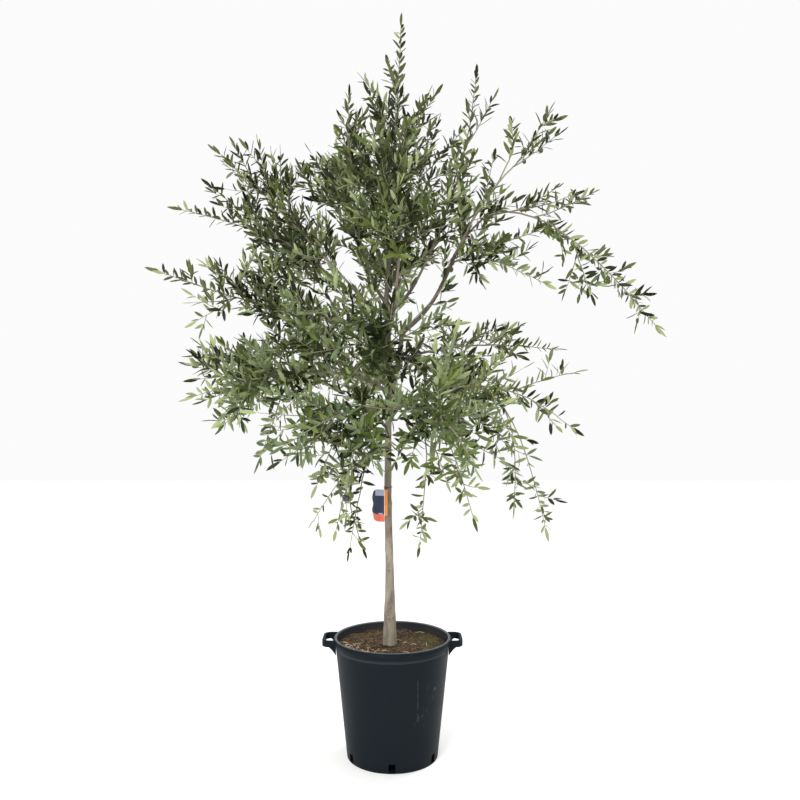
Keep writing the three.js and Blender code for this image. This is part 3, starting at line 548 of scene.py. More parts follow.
def soil_finish(settings):
    base = tuple(settings.soil)
    finish = Finish("potting_soil", base, 0.95, specular=0.2)
    crumbs = finish.grain(110, 7, rough=0.75)
    pale, dark = scaled(base, 2.1), scaled(base, 0.4)
    green = finish.across().between(0.06, 0.14) * finish.grain(24, 3).between(0.45, 0.65)
    # Partly real crumb tone and partly painted shade: the soil turns dark where the crumbs' bump is low, in
    # its crevices.
    crumb_tone_and_crevice_shade = finish.tint(crumbs.between(0.34, 0.7), dark, pale)
    damp = finish.tint(finish.grain(26, 3).between(0.42, 0.6) * 0.7, crumb_tone_and_crevice_shade, dark)
    finish.feed("Base Color", finish.tint(green * 0.4, damp, tuple(settings.moss)))
    finish.feed("Roughness", crumbs * 0.2 + 0.8)
    finish.relief(crumbs, 0.8, 0.003)
    return finish.material


def fleck_finish(name, base, vary=0.35):
    """Rough, streaky matter such as a chip of bark or a straw."""
    finish = Finish(name, base, 0.85, specular=0.25)
    streak = finish.grain(230, 3, rough=0.6)
    dark, pale = scaled(base, 1 - vary), scaled(base, 1 + vary)
    finish.feed("Base Color", finish.tint(streak.between(0.3, 0.7), dark, pale))
    finish.relief(streak, 0.4, 0.001)
    return finish.material


SHADED_BARK = (1.15, 1.38)  # heights between which the bark turns dark in the shade of the crown


def bark_finish(settings):
    bark, crack = tuple(settings.bark), tuple(settings.crack)
    finish = Finish("olive_bark", bark, 0.88, specular=0.25)
    cloud = finish.grain(34, 5, (1, 1, 0.3), 0.6)
    streak = finish.grain(120, 5, (1, 1, 0.14), 0.62)
    pores = finish.cells(150, (1, 1, 0.6)).between(0.3, 0.12) * finish.grain(40).between(0.45, 0.6)
    green = finish.grain(11, 3, (1, 1, 0.4)).between(0.5, 0.75)
    grey, tan = scaled(bark, 0.62, 0.62, 0.6), scaled(bark, 1.42, 1.38, 1.32)
    skin = finish.tint(cloud.between(0.32, 0.68), grey, tan)
    mossy = finish.tint(green * 0.35, skin, scaled(bark, 0.72, 0.8, 0.62))
    marks = streak.between(0.54, 0.72) * 0.6 + pores * 0.8
    old = finish.tint(marks, mossy, crack)
    shade = finish.height().between(*SHADED_BARK) * 0.62
    finish.feed("Base Color", finish.tint(shade, old, scaled(crack, 0.5)))
    finish.feed("Roughness", cloud * 0.14 + 0.78)
    finish.relief(streak * 0.7 + finish.grain(420, 3) * 0.3 - pores * 0.6, 0.5, 0.0012)
    return finish.material


def fruit_finish(name, base, bloom):
    finish = Finish(name, base, 0.34, coat=0.15)
    cloud = finish.grain(90, 3)
    specks = finish.cells(420).between(0.25, 0.1) * 0.35
    skin = finish.tint(cloud.between(0.35, 0.7) * 0.5, base, bloom)
    finish.feed("Base Color", finish.tint(specks, skin, scaled(bloom, 1.5)))
    finish.feed("Roughness", cloud * 0.2 + 0.26)
    return finish.material


def card_finish(name, base):
    finish = Finish(name, base, 0.42, specular=0.5)
    cloud = finish.grain(60, 3)
    finish.feed("Base Color", finish.tint(cloud.between(0.35, 0.7) * 0.6, base, scaled(base, 0.82)))
    finish.feed("Roughness", cloud * 0.18 + 0.34)
    return finish.material


def leaf_finish(name, base, roughness):
    """Leathery leaf skin in one plain colour, which a spray of leaves shares."""
    return Finish(name, tuple(base), roughness, specular=0.16).material


# ---- Meshes --------------------------------------------------------------------------------------


def make_piece(name, points, faces, materials, tints=None, smooth=True, outline=None):
    """A mesh object from arrays of points and faces, which rides on the plant's one body.

    faces is a list of arrays, each of faces with the same number of corners. tints gives each face
    its material. An edge is sharp where both its points are marked in outline.
    """
    mesh = bpy.data.meshes.new(name)
    corners = np.concatenate([block.ravel() for block in faces]).astype(np.int32)
    counts = np.concatenate([np.full(len(block), block.shape[1]) for block in faces])
    starts = np.concatenate([[0], np.cumsum(counts)[:-1]]).astype(np.int32)
    mesh.vertices.add(len(points))
    mesh.vertices.foreach_set("co", np.asarray(points, np.float32).ravel())
    mesh.loops.add(len(corners))
    mesh.loops.foreach_set("vertex_index", corners)
    mesh.polygons.add(len(starts))
    mesh.polygons.foreach_set("loop_start", starts)
    if tints is not None:
        mesh.polygons.foreach_set("material_index", np.asarray(tints, np.int32))
    mesh.polygons.foreach_set("use_smooth", np.full(len(starts), smooth))
    mesh.update(calc_edges=True)
    if outline is not None:
        ends = np.empty(2 * len(mesh.edges), np.int32)
        mesh.edges.foreach_get("vertices", ends)
        mesh.edges.foreach_set("use_edge_sharp", np.asarray(outline)[ends.reshape(-1, 2)].all(axis=1))
    return place_piece(name, mesh, materials)


def place_piece(name, mesh, materials):
    for material in materials:
        mesh.materials.append(material)
    piece = bpy.data.objects.new(name, mesh)
    bpy.context.scene.collection.objects.link(piece)
    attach(piece, "root")
    return piece


def stand_in(piece, slot, *nodes):
    """Hides the nodes of the frame that a piece replaces; the piece and the slot are not used."""
    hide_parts(*nodes)


def crease(piece, degrees):
    """Smooth faces with edges that stay sharp where they turn by more than an angle."""
    piece.data.polygons.foreach_set("use_smooth", np.full(len(piece.data.polygons), True))
    piece.data.set_sharp_from_angle(angle=math.radians(degrees))


def turn_outward(piece):
    shape = bmesh.new()
    shape.from_mesh(piece.data)
    bmesh.ops.recalc_face_normals(shape, faces=shape.faces)
    shape.to_mesh(piece.data)
    shape.free()


def settle(piece):
    """Works a piece's modifiers into its mesh."""
    seen = piece.evaluated_get(bpy.context.evaluated_depsgraph_get())
    mesh = bpy.data.meshes.new_from_object(seen)
    old = piece.data
    piece.modifiers.clear()
    piece.data = mesh
    bpy.data.meshes.remove(old)


def ring_faces(rings, sides):
    """The four-cornered faces between closed rings of points."""
    ring, side = np.meshgrid(np.arange(rings - 1), np.arange(sides), indexing="ij")
    a = ring * sides + side
    b = ring * sides + (side + 1) % sides
    return np.stack([a, b, b + sides, a + sides], -1).reshape(-1, 4)


def end_faces(rings, sides):
    """Three-cornered faces over the first and the last ring of a tube."""
    corner = np.arange(1, sides - 1)
    last = (rings - 1) * sides
    first = np.stack([np.zeros_like(corner), corner + 1, corner], -1)
    return np.concatenate([first, np.stack([np.full_like(corner, last), last + corner,
                                            last + corner + 1], -1)])


def turned(name, profile, sides, materials):
    """A closed piece turned about the pot's axis from (radius, height) corners."""
    turn = np.arange(sides) * 2 * math.pi / sides
    around = np.stack([np.cos(turn), np.sin(turn)], -1)
    rings = [np.column_stack([around * radius, np.full(sides, height)]) for radius, height in profile]
    points = np.concatenate(rings)
    piece = make_piece(name, points, [ring_faces(len(profile), sides), end_faces(len(profile), sides)],
                       materials)
    turn_outward(piece)
    return piece


def rounded(corner, before, after, radius, steps=4):
    """Points of an arc-like bend that takes the place of a corner of a profile."""
    corner, before, after = (np.array(point, float) for point in (corner, before, after))
    first = corner + (before - corner) / np.linalg.norm(before - corner) * radius
    last = corner + (after - corner) / np.linalg.norm(after - corner) * radius
    shares = np.linspace(0, 1, steps + 1)[:, None]
    return [tuple(point) for point in (first * (1 - shares) ** 2 + corner * 2 * shares * (1 - shares)
                                       + last * shares ** 2)]


def soften(profile, radii):
    """A profile whose inner corners are rounded by the radius given for each."""
    points = [profile[0]]
    for index, radius in zip(range(1, len(profile) - 1), radii):
        corner = profile[index]
        points += rounded(corner, profile[index - 1], profile[index + 1], radius) if radius else [corner]
    return points + [profile[-1]]


class Batch:
    """Many small closed shapes that are joined into one piece."""

    def __init__(self):
        self.points = []
        self.faces = {3: [], 4: []}
        self.tints = {3: [], 4: []}
        self.count = 0

    def add(self, points, faces, tint=0):
        """faces is a list of arrays of faces with three or four corners."""
        self.points.append(points)
        for block in faces:
            self.faces[block.shape[1]].append(block + self.count)
            self.tints[block.shape[1]].append(np.full(len(block), tint))
        self.count += len(points)

    def build(self, name, materials, smooth=True):
        used = [corners for corners in (3, 4) if self.faces[corners]]
        faces = [np.concatenate(self.faces[corners]) for corners in used]
        tints = np.concatenate([np.concatenate(self.tints[corners]) for corners in used])
        return make_piece(name, np.concatenate(self.points), faces, materials, tints, smooth)


# ---- Curves --------------------------------------------------------------------------------------


def place(where):
    reach, heading, height = where
    turn = math.radians(heading)
    return Vector((reach * math.cos(turn), reach * math.sin(turn), height))


def pointing(heading, pitch):
    """Unit direction with a heading and a pitch in degrees."""
    turn, tilt = math.radians(heading), math.radians(pitch)
    return Vector((math.cos(turn) * math.cos(tilt), math.sin(turn) * math.cos(tilt), math.sin(tilt)))


def aim(start, end, pitch):
    """Unit direction that heads level from one place towards another and is then pitched up."""
    level = Vector((end.x - start.x, end.y - start.y, 0)).normalized()
    tilt = math.radians(pitch)
    return level * math.cos(tilt) + UP * math.sin(tilt)


def across(direction):
    """A unit vector square to a direction, level where the direction allows it."""
    side = UP.cross(direction)
    if side.length < 0.05:
        side = SIDE.copy()
    return (side - direction * side.dot(direction)).normalized()


def offshoot(tangent, roll, spread):
    """Unit direction that leaves a line at an angle, on the side that roll turns to."""
    side = across(tangent)
    turn, lean = math.radians(roll), math.radians(spread)
    radial = side * math.cos(turn) + tangent.cross(side) * math.sin(turn)
    return tangent * math.cos(lean) + radial * math.sin(lean)


def bezier(*corners):
    """A curve from its first corner to its last, as a function of the share along it."""
    def curve(share):
        row = corners
        while len(row) > 1:
            row = [one.lerp(two, share) for one, two in zip(row, row[1:])]
        return row[0]
    return curve


def tangent_of(curve, share):
    return (curve(min(share + CURVE_STEP, 1)) - curve(max(share - CURVE_STEP, 0))).normalized()


def swaying(places):
    """A centripetal curve through places, as a function of the share along it."""
    knots = [Vector(point) for point in places]
    knots = [knots[0] * 2 - knots[1], *knots, knots[-1] * 2 - knots[-2]]

    def curve(share):
        spans = len(places) - 1
        span = min(int(share * spans), spans - 1)
        p0, p1, p2, p3 = knots[span:span + 4]
        d0, d1, d2 = ((b - a).length ** 0.5 for a, b in ((p0, p1), (p1, p2), (p2, p3)))
        first = ((p1 - p0) / d0 - (p2 - p0) / (d0 + d1) + (p2 - p1) / d1) * d1
        last = ((p2 - p1) / d1 - (p3 - p1) / (d1 + d2) + (p3 - p2) / d2) * d1
        t = share * spans - span
        return (p1 + first * t + (p2 * 3 - p1 * 3 - first * 2 - last) * t ** 2
                + (p1 * 2 - p2 * 2 + first + last) * t ** 3)
    return curve


def share_at_height(curve, height):
    low, high = 0.0, 1.0
    for _ in range(30):
        middle = (low + high) / 2
        low, high = (middle, high) if curve(middle).z < height else (low, middle)
    return low


def frames_along(points):
    """Unit vectors along and across a line of points, the latter turned as little as may be."""
    steps = np.gradient(points, axis=0)
    steps /= np.linalg.norm(steps, axis=1)[:, None]
    side = np.array(across(Vector(steps[0])))
    sides = []
    for step in steps:
        side = side - step * side.dot(step)
        side = side / np.linalg.norm(side)
        sides.append(side)
    sides = np.array(sides)
    return steps, sides, np.cross(steps, sides)


def tube(points, radii, sides):
    """Points and faces of a closed tube along a line. radii has one row for each point."""
    points = np.asarray(points, float)
    _, side, normal = frames_along(points)
    turn = np.arange(sides) * 2 * math.pi / sides
    radii = np.broadcast_to(np.asarray(radii, float).reshape(len(points), -1), (len(points), sides))
    rings = (points[:, None] + side[:, None] * (radii * np.cos(turn))[..., None]
             + normal[:, None] * (radii * np.sin(turn))[..., None])
    return rings.reshape(-1, 3), [ring_faces(len(points), sides), end_faces(len(points), sides)]


# ---- Growth --------------------------------------------------------------------------------------


def between(low, high, share):
    return low + (high - low) * share


def draws(seed):
    """A repeatable stream of numbers from 0 to 1."""
    state = (seed + 1) * 2654435761 % 2 ** 32

    def draw():
        nonlocal state
        state = (state * 1664525 + 1013904223) % 2 ** 32
        return state / 2 ** 32
    return draw


Limb = namedtuple("Limb", "curve foot tip")
Mass = namedtuple("Mass", "name index stem leaders length rise count shoots")
Line = namedtuple("Line", "points radii kind mass")
Crown = namedtuple("Crown", "lines leaves hosts")


def trunk_radius(share):
    climb = share * (TRUNK_SWAY[-1][2] - TRUNK_SWAY[0][2])
    flare = FLARE["radius"] * math.exp(-(climb / FLARE["height"]) ** 2)
    return TRUNK_FORK + (TRUNK_BASE - TRUNK_FORK) * (1 - share) + flare


def trunk_at(height):
    """The middle of the trunk at a height, and its radius there."""
    curve = grow_limbs()["trunk"].curve
    share = share_at_height(curve, height)
    return curve(share), trunk_radius(share)


def limb_radius(name, limb, share):
    """Radius of the trunk or of a bough at a share of its length."""
    return trunk_radius(share) if name == "trunk" else limb.foot + (limb.tip - limb.foot) * share


@functools.lru_cache(maxsize=1)
def grow_limbs():
    """The trunk and the boughs, by name, in the order in which they leave each other."""
    limbs = {"trunk": Limb(swaying(TRUNK_SWAY), TRUNK_BASE, TRUNK_FORK)}
    for name, (parent, where, leave, tip, arrive, foot, end) in BOUGHS.items():
        carrier = limbs[parent].curve
        start = carrier(share_at_height(carrier, where) if parent == "trunk" else where)
        last = place(tip)
        keep = (last - start).length * LIMB_STIFFNESS
        curve = bezier(start, start + aim(start, last, leave) * keep,
                       last - aim(start, last, arrive) * keep, last)
        limbs[name] = Limb(curve, foot, end)
    return limbs


def stem_foot(carrier):
    """Where a mass's stem starts and its direction there."""
    limb = grow_limbs()[carrier]
    if carrier != "trunk":
        direction = tangent_of(limb.curve, 1)
        return limb.curve(1) + direction * GAP, direction
    share = share_at_height(limb.curve, SPRIG["height"])
    direction = pointing(SPRIG["heading"], SPRIG["pitch"])
    return limb.curve(share) + direction * (trunk_radius(share) + GAP), direction


def bent(start, direction, keep, tip):
    """A line that bends towards a tip, and stops short of it by a leaf of the solids."""
    elbow = start + direction * (tip - start).length * keep
    return bezier(start, elbow, tip - (tip - elbow).normalized() * SOLID_LEAF)


def start_mass(name, index):
    """A mass with its stem and leading shoots, before its side shoots grow."""
    carrier, tip, keep, shoot, rise, count, leads = MASSES[name]
    start, direction = stem_foot(carrier)
    stem = bent(start, direction, keep, place(tip))
    leaders = [bent(stem(share), tangent_of(stem, share), own_keep[0] if own_keep else LEADER_KEEP,
                    place(lead_tip)) for share, lead_tip, *own_keep in leads]
    return Mass(name, index, stem, leaders, shoot, rise, count, [])


def tree_of(points):
    """A search tree that finds the nearest of many points."""
    tree = kdtree.KDTree(len(points))
    for index, point in enumerate(points):
        tree.insert(point, index)
    tree.balance()
    return tree


class Room:
    """Tells whether a place is in a mass's own space and clear of every limb."""

    def __init__(self, masses):
        lines = [[curve(step / 24) for curve in (mass.stem, *mass.leaders) for step in range(25)]
                 for mass in masses]
        self.own = [tree_of(points) for points in lines]
        self.others = [tree_of([point for other, points in enumerate(lines) if other != index
                                for point in points]) for index in range(len(masses))]
        self.bark = [(limb.curve(step / 60), limb_radius(name, limb, step / 60))
                     for name, limb in grow_limbs().items() for step in range(61)]
        self.limbs = tree_of([point for point, _ in self.bark])

    def is_free(self, point, mass, margin=SPACE_MARGIN):
        own = self.own[mass].find(point)[2]
        if own + margin > self.others[mass].find(point)[2]:
            return False
        _, nearest, distance = self.limbs.find(point)
        return distance > self.bark[nearest][1] + LIMB_MARGIN


def age(point):
    """1 in the old wood of the crown, falling to 0 beyond it."""
    away = math.sqrt(sum(((at - middle) / radius) ** 2 for at, middle, radius
                         in zip(point, CORE["middle"], CORE["radii"])))
    return min(max(1 - (away - 1) / CORE["fade"], 0), 1)


def seen_at(point):
    """Where a point is seen from in front, across and up, at the middle of the crown."""
    eye_x, eye_y, eye_z = EYE
    scale = -eye_y / (point.y - eye_y)
    return eye_x + (point.x - eye_x) * scale, eye_z + (point.z - eye_z) * scale


def in_window(point, windows=WINDOWS):
    """Whether a point would close one of the openings through the crown."""
    x, z = seen_at(point)
    return any(((x - across) / half) ** 2 + ((z - height) / tall) ** 2 < 1
               for across, height, half, tall in windows)


def is_hidden(point, draw):
    """Whether a leaf or twig is left out: in an opening always, and where the crown is thin by chance."""
    return in_window(point) or any(in_window(point, [spot]) and draw() > keep for *spot, keep in THIN)


def grow_shoots(mass, room):
    """Side shoots leave the stem round a golden spiral, shorter towards its tip."""
    draw = draws(mass.index)
    for attempt in range(mass.count * TRIES_PER_SHOOT):
        if len(mass.shoots) == mass.count:
            break
        share = between(*SHOOT_SHARES, (attempt * 0.618 + 0.25 * draw()) % 1)
        spread = between(*SPREAD, draw())
        size = mass.length * (1.2 - 0.85 * share) * (0.75 + 0.5 * draw())
        start = mass.stem(share)
        roll = attempt * GOLDEN_TURN + mass.index * 50
        way = offshoot(tangent_of(mass.stem, share), roll, spread)
        curve = bezier(start, start + way * size * 0.5, start + way * size + UP * mass.rise * size)
        if all(room.is_free(curve(step / 5), mass.index) for step in range(1, 6)):
            mass.shoots.append(curve)


def fine_line(curve, radii, steps, extra, kind, mass, draw):
    """A twig along a curve, carried on past its end by extra and given a slight zigzag."""
    points = [curve(step / steps) for step in range(steps + 1)]
    if extra:
        ahead = tangent_of(curve, 1)
        points += [points[-1] + ahead * extra * share for share in (0.5, 1)]
    wobble = 0.012 * (points[1] - points[0]).length ** 0.5
    for index in range(1, len(points) - 1):
        way = offshoot((points[index + 1] - points[index - 1]).normalized(), 360 * draw(), 90)
        points[index] = points[index] + way * wobble * draw()
    return Line(points, np.linspace(radii[0], radii[1], len(points)), kind, mass)


class Route:
    """Places and directions at a distance along a line of points."""

    def __init__(self, points):
        self.points = points
        self.at = [0.0]
        for one, two in zip(points, points[1:]):
            self.at.append(self.at[-1] + (two - one).length)
        self.length = self.at[-1]

    def __call__(self, share):
        distance = min(max(share, 0), 1) * self.length
        span = int(np.searchsorted(self.at, distance, side="right")) - 1
        span = min(span, len(self.points) - 2)
        part = (distance - self.at[span]) / (self.at[span + 1] - self.at[span])
        return self.points[span].lerp(self.points[span + 1], part)

    def ahead(self, share):
        return (self(share + ROUTE_STEP) - self(share - ROUTE_STEP)).normalized()


def grow_twigs(line, room, settings, order, draw):
    """Fine twigs on a shoot or a stem, shorter towards its tip."""
    route = Route(line.points)
    count = int(route.length * (TWIG["last"] - TWIG["first"]) / settings.twig_pitch)
    twigs = []
    for index in range(count):
        share = between(TWIG["first"], TWIG["last"], (index + draw()) / count)
        start = route(share)
        old = age(start)
        if share > TUFT["from"] and route.ahead(share).z < TUFT["drop"]:
            old = TUFT["share"]
        size = settings.twig_length * (1 - TWIG["shrink"] * share) * (0.45 + 0.75 * draw())
        size *= 0.6 + 0.4 * old
        spread = between(*TWIG["spread"], draw())
        if draw() > CORE["outer"] + (1 - CORE["outer"]) * old:
            continue
        way = offshoot(route.ahead(share), index * GOLDEN_TURN + order * 50, spread)
        tip = start + way * size + UP * size * TWIG["rise"] * (draw() + 0.2)
        curve = bezier(start, start + way * size * 0.55, tip)
        if is_hidden(tip, draw) or in_window(curve(0.5)):
            continue
        if all(room.is_free(curve(step), line.mass, FINE_SPACE_MARGIN) for step in (0.5, 1)):
            twigs.append(fine_line(curve, TWIG_RADII, 3, 0, "twig", line.mass, draw))
    return twigs


# Share of the line that has no leaves, by kind of line
BARE = {"stem": 0.25, "leader": 0.28, "shoot": 0.1, "twig": 0.1}
# Angles in degrees; gap is how many of the leaves are missing, and off_tint how many have a spray's
# second tint
LEAF = {"spread": 55, "spread_vary": 26, "roll_vary": 24, "half_vary": 20, "tip_spread": 0.55,
        "rise": 0.6, "gap": 0.03, "off_tint": 0.18, "smallest": 0.74, "size_vary": 0.44, "shrink": 0.34}


def grow_leaves(line, room, settings, draw, leaves):
    """Leaves in opposite pairs, each pair turned a quarter from the last, and a pair at the tip."""
    route = Route(line.points)
    hangs = line.kind in ("stem", "leader") and route.ahead(0.9).z < TUFT["drop"]
    bare = TUFT["bare"] if hangs else BARE[line.kind]
    pairs = max(2, round(route.length * (1 - bare) / settings.leaf_pitch))
    spray = pick_tint(route(0.6), draw)
    grown = between(*LEAF_GROWTH, climb_of(route(0.6)))
    if route(0.6).z < TUFT["height"]:
        grown *= TUFT["leaf"]
    start_roll = 90 * draw()
    for pair in range(pairs):
        share = bare + (1 - bare) * (pair + 0.6) / pairs
        tangent = route.ahead(share)
        size = grown * (LEAF["smallest"] + LEAF["size_vary"] * draw()) * (1 - LEAF["shrink"] * share ** 4)
        roll = start_roll + pair * 90 + LEAF["roll_vary"] * (draw() - 0.5)
        for half in (0, 180):
            last = LEAF["tip_spread"] if pair == pairs - 1 else 1
            spread = (LEAF["spread"] + LEAF["spread_vary"] * (draw() - 0.5)) * last
            along = offshoot(tangent, roll + half + LEAF["half_vary"] * (draw() - 0.5), spread)
            along = (along + UP * LEAF["rise"] * draw()).normalized()
            facing = tangent * 0.7 + UP * 0.55 + offshoot(tangent, 360 * draw(), 90) * 0.9 * draw()
            root = route(share)
            size_here = size * (0.9 + 0.2 * draw())
            middle = root + along * settings.leaf_length * size_here * 0.6
            if draw() < LEAF["gap"] or is_hidden(middle, draw):
                continue
            if not room.is_free(middle, line.mass, FINE_SPACE_MARGIN):
                continue
            tint = spray if draw() < 1 - LEAF["off_tint"] else spray + 1
            leaves.append((root, along, facing, size_here, tint, draw(), draw()))
    ahead = route.ahead(1)
    if not in_window(route(1)):
        leaves.append((route(1), ahead, offshoot(ahead, 360 * draw(), 90), grown, spray, 0.3, draw()))


# Tints of the sprays, with how common each is low and high in the crown. The dark tints, common high in the
# crown, are partly painted shade, and the pale mist tint, common low, is partly painted light.
TINTS = (
    ("dark", "grey", 0.06, 0.90),
    ("deep", "silver", 0.13, 0.10),
    ("sage", "silver", 0.20, 0.07),
    ("sage", "grey", 0.05, 0.20),
    ("olive", "silver", 0.15, 0.08),
    ("mist", "silver", 0.46, 0.02),
    ("young", "young", 0.012, 0.010),
)
CROWN_HEIGHTS = (0.95, 1.95)
LEAF_GROWTH = (0.98, 0.93)  # size of the leaves low and high in the crown


def climb_of(point):
    """0 at the foot of the crown and 1 near its top."""
    low, high = CROWN_HEIGHTS
    return min(max((point.z - low) / (high - low), 0), 1)


def pick_tint(point, draw):
    """The number of a spray's tint in TINTS."""
    # Leaves below the tufts' height take darker mid-crown tints: painted shade on the hanging tufts.
    climb = TUFT["climb"] if point.z < TUFT["height"] else climb_of(point)
    weights = np.cumsum([at_foot + (at_top - at_foot) * climb for _, _, at_foot, at_top in TINTS])
    return int(np.searchsorted(weights / weights[-1], draw()))


@functools.lru_cache(maxsize=1)
def grow_crown():
    """Every twig and leaf, grown from the masses of the frame by their own rule."""
    settings = bpy.context.scene.olive_foliage
    masses = [start_mass(name, index) for index, name in enumerate(MASSES)]
    room = Room(masses)
    for mass in masses:
        grow_shoots(mass, room)
    extra = SOLID_LEAF - settings.leaf_length
    lines, leaves, hosts = [], {name: [] for name in MASSES}, {}
    for mass in masses:
        draw = draws(mass.index + 200)
        main = [fine_line(mass.stem, STEM_RADII, 14, extra, "stem", mass.index, draw)]
        main += [fine_line(curve, LEADER_RADII, 9, extra, "leader", mass.index, draw)
                 for curve in mass.leaders]
        main += [fine_line(curve, SHOOT_RADII, 5, extra, "shoot", mass.index, draw)
                 for curve in mass.shoots if not in_window(curve(1))]
        carrier = grow_limbs()[MASSES[mass.name][0]].curve
        old_wood = [] if mass.name == "trunk_sprig" else [
            fine_line(carrier, STEM_RADII, 6, 0, "bough", mass.index, draw)]
        twigs = [twig for order, line in enumerate(main + old_wood)
                 for twig in grow_twigs(line, room, settings, order, draw)]
        for line in main + twigs:
            grow_leaves(line, room, settings, draw, leaves[mass.name])
        lines += main + twigs
        hosts[mass.name] = main
    return Crown(lines, leaves, hosts)


# ---- Leaves --------------------------------------------------------------------------------------

# Share along a leaf, and half its width there as a share of its full width
LEAF_OUTLINE = ((0.0, 0.035), (0.2, 0.36), (0.5, 0.5), (0.8, 0.34), (1.0, 0.0))


def leaf_pattern():
    """Corners (along, across, over), faces, whether each is an upper face, and the outline's points.

    over is 1 on the upper side of the midrib, -1 under it and 0 on the outline.
    """
    corners = [(0.0, 0.0, 0.0)]
    for along, half in LEAF_OUTLINE[1:-1]:
        corners += [(along, half, 0), (along, 0, 1), (along, -half, 0), (along, 0, -1)]
    corners.append((1.0, 0.0, 0.0))
    tip = len(corners) - 1
    upper = [(0, 3, 2), (0, 2, 1)]
    lower = [(0, 4, 3), (0, 1, 4)]
    for row in range(1, tip - 4, 4):
        left, top, right, under = row, row + 1, row + 2, row + 3
        upper += [(left, top, top + 4), (left, top + 4, left + 4)]
        upper += [(top, right, right + 4), (top, right + 4, top + 4)]
        lower += [(under, left, left + 4), (under, left + 4, under + 4)]
        lower += [(right, under, under + 4), (right, under + 4, right + 4)]
    left = tip - 4
    upper += [(left, left + 1, tip), (left + 1, left + 2, tip)]
    lower += [(left + 3, left, tip), (left + 2, left + 3, tip)]
    corners = np.array(corners)
    return corners, np.array(upper + lower), len(upper), corners[:, 2] == 0


def leaf_mesh(leaves, settings):
    """Points, faces and tints of many leaves, each a closed folded blade."""
    pattern, faces, upper_count, outline = leaf_pattern()
    root, along, facing = (np.array([leaf[item] for leaf in leaves]) for item in range(3))
    size, tint, bend, twist = (np.array([leaf[item] for leaf in leaves]) for item in range(3, 7))
    normal = facing - along * np.sum(facing * along, axis=1)[:, None]
    normal /= np.linalg.norm(normal, axis=1)[:, None]
    side = np.cross(normal, along)
    reach = settings.leaf_length * size
    width = settings.leaf_width * (0.35 + 0.65 * size)
    x, y, over = pattern.T
    turn = (twist - 0.5)[:, None] * 1.1 * x
    out = width[:, None] * y
    arch = (0.10 - 0.32 * bend)[:, None] * (x ** 2) * reach[:, None]
    fold = np.abs(out) * 0.28
    lift = arch + fold + over * settings.leaf_thickness / 2
    across_way = out * np.cos(turn)
    over_way = lift + out * np.sin(turn)
    points = (root[:, None] + along[:, None] * (x * reach[:, None])[..., None]
              + side[:, None] * across_way[..., None] + normal[:, None] * over_way[..., None])
    starts = np.arange(len(leaves))[:, None, None] * len(pattern)
    all_faces = (faces[None] + starts).reshape(-1, 3)
    pair = 2 * np.minimum(tint, len(TINTS) - 1)
    under = np.arange(len(faces)) >= upper_count
    tints = (pair[:, None] + under[None]).ravel()
    return points.reshape(-1, 3), all_faces, tints, np.tile(outline, len(leaves))


# ---- Operators -----------------------------------------------------------------------------------


def rim_profile():
    """Outline of the pot from the middle of its underside round to the middle of its floor."""
    band_foot = POT_TOP - RIM_BAND
    lip = RIM_RADIUS - RIM_EDGE - LIP_WIDTH
    inner_neck = NECK_RADIUS - WALL
    corners = [
        (0, 0.003), (0.118, 0.003), (0.124, 0), (FOOT_RADIUS - 0.001, 0), (FOOT_RADIUS + 0.0004, 0.012),
        (NECK_RADIUS, band_foot - 0.001), (RIM_RADIUS - 0.0015, band_foot),
        (RIM_RADIUS, band_foot + RIM_EDGE), (RIM_RADIUS, POT_TOP - RIM_EDGE),
        (RIM_RADIUS - RIM_EDGE, POT_TOP), (lip, POT_TOP),
        (inner_neck, band_foot), (FOOT_RADIUS - WALL, POT_FLOOR), (0, POT_FLOOR),
    ]
    radii = (0, 0, 0.001, 0.005, 0.003, 0.0012, 0.001, 0.003, 0.003, 0.003, 0.004, 0.004)
    return soften(corners, radii)


class OLIVE_OT_pot(bpy.types.Operator):
    """Builds the pot with its rim and the notches round its foot"""

    bl_idname = "olive.pot"
    bl_label = "Pot"

    def execute(self, context):
        finish = plastic_finish(context.scene.olive_pot)
        pot = turned("pot_shell", rim_profile(), 144, [finish])
        notches = Batch()
        for index in range(NOTCH["count"]):
            spin = Matrix.Rotation(math.pi / 2 + index * 2 * math.pi / NOTCH["count"], 4, "Z")
            notches.add(*notch_block(spin))
        cutter = notches.build("notch_cutter", [], False)
        turn_outward(cutter)
        cut = pot.modifiers.new("notches", "BOOLEAN")
        cut.operation, cut.solver, cut.object = "DIFFERENCE", "EXACT", cutter
        settle(pot)
        bpy.data.objects.remove(cutter)
        crease(pot, 34)
        stand_in(pot, "pot", "pot")
        return {"FINISHED"}


def notch_block(spin):
    """An upright block with rounded corners, for one notch."""
    half, bevel = NOTCH["width"] / 2, NOTCH["round"]
    low, high = NOTCH["bottom"], NOTCH["top"]
    square = [(half, low), (half, high), (-half, high), (-half, low)]
    outline = [point for at in range(4)
               for point in rounded(square[at], square[at - 1], square[(at + 1) % 4], bevel)]
    near, far = FOOT_RADIUS - NOTCH["depth"] / 2, FOOT_RADIUS + NOTCH["depth"] / 2
    points = [spin @ Vector((reach, y, z)) for reach in (near, far) for y, z in outline]
    sides = len(outline)
    return np.array(points), [ring_faces(2, sides), end_faces(2, sides)]


def handle_line(side):
    """Middle of a handle's bar, from the wall out, along and back, in plan."""
    out = HANDLE_REACH - HANDLE_BAR["width"] / 2
    half = HANDLE_HALF - HANDLE_BAR["width"] / 2
    corner = HANDLE_BAR["corner"]
    bend = [math.radians(turn) for turn in np.linspace(-90, 0, 7)]
    near = [(NECK_RADIUS - 0.002, -half)]
    near += [(out - corner + corner * math.cos(turn), -half + corner + corner * math.sin(turn))
             for turn in bend]
    plan = near + [(x, -y) for x, y in reversed(near)]
    return [Vector((x * side, y * side, POT_TOP - HANDLE_BAR["height"] / 2)) for x, y in plan]


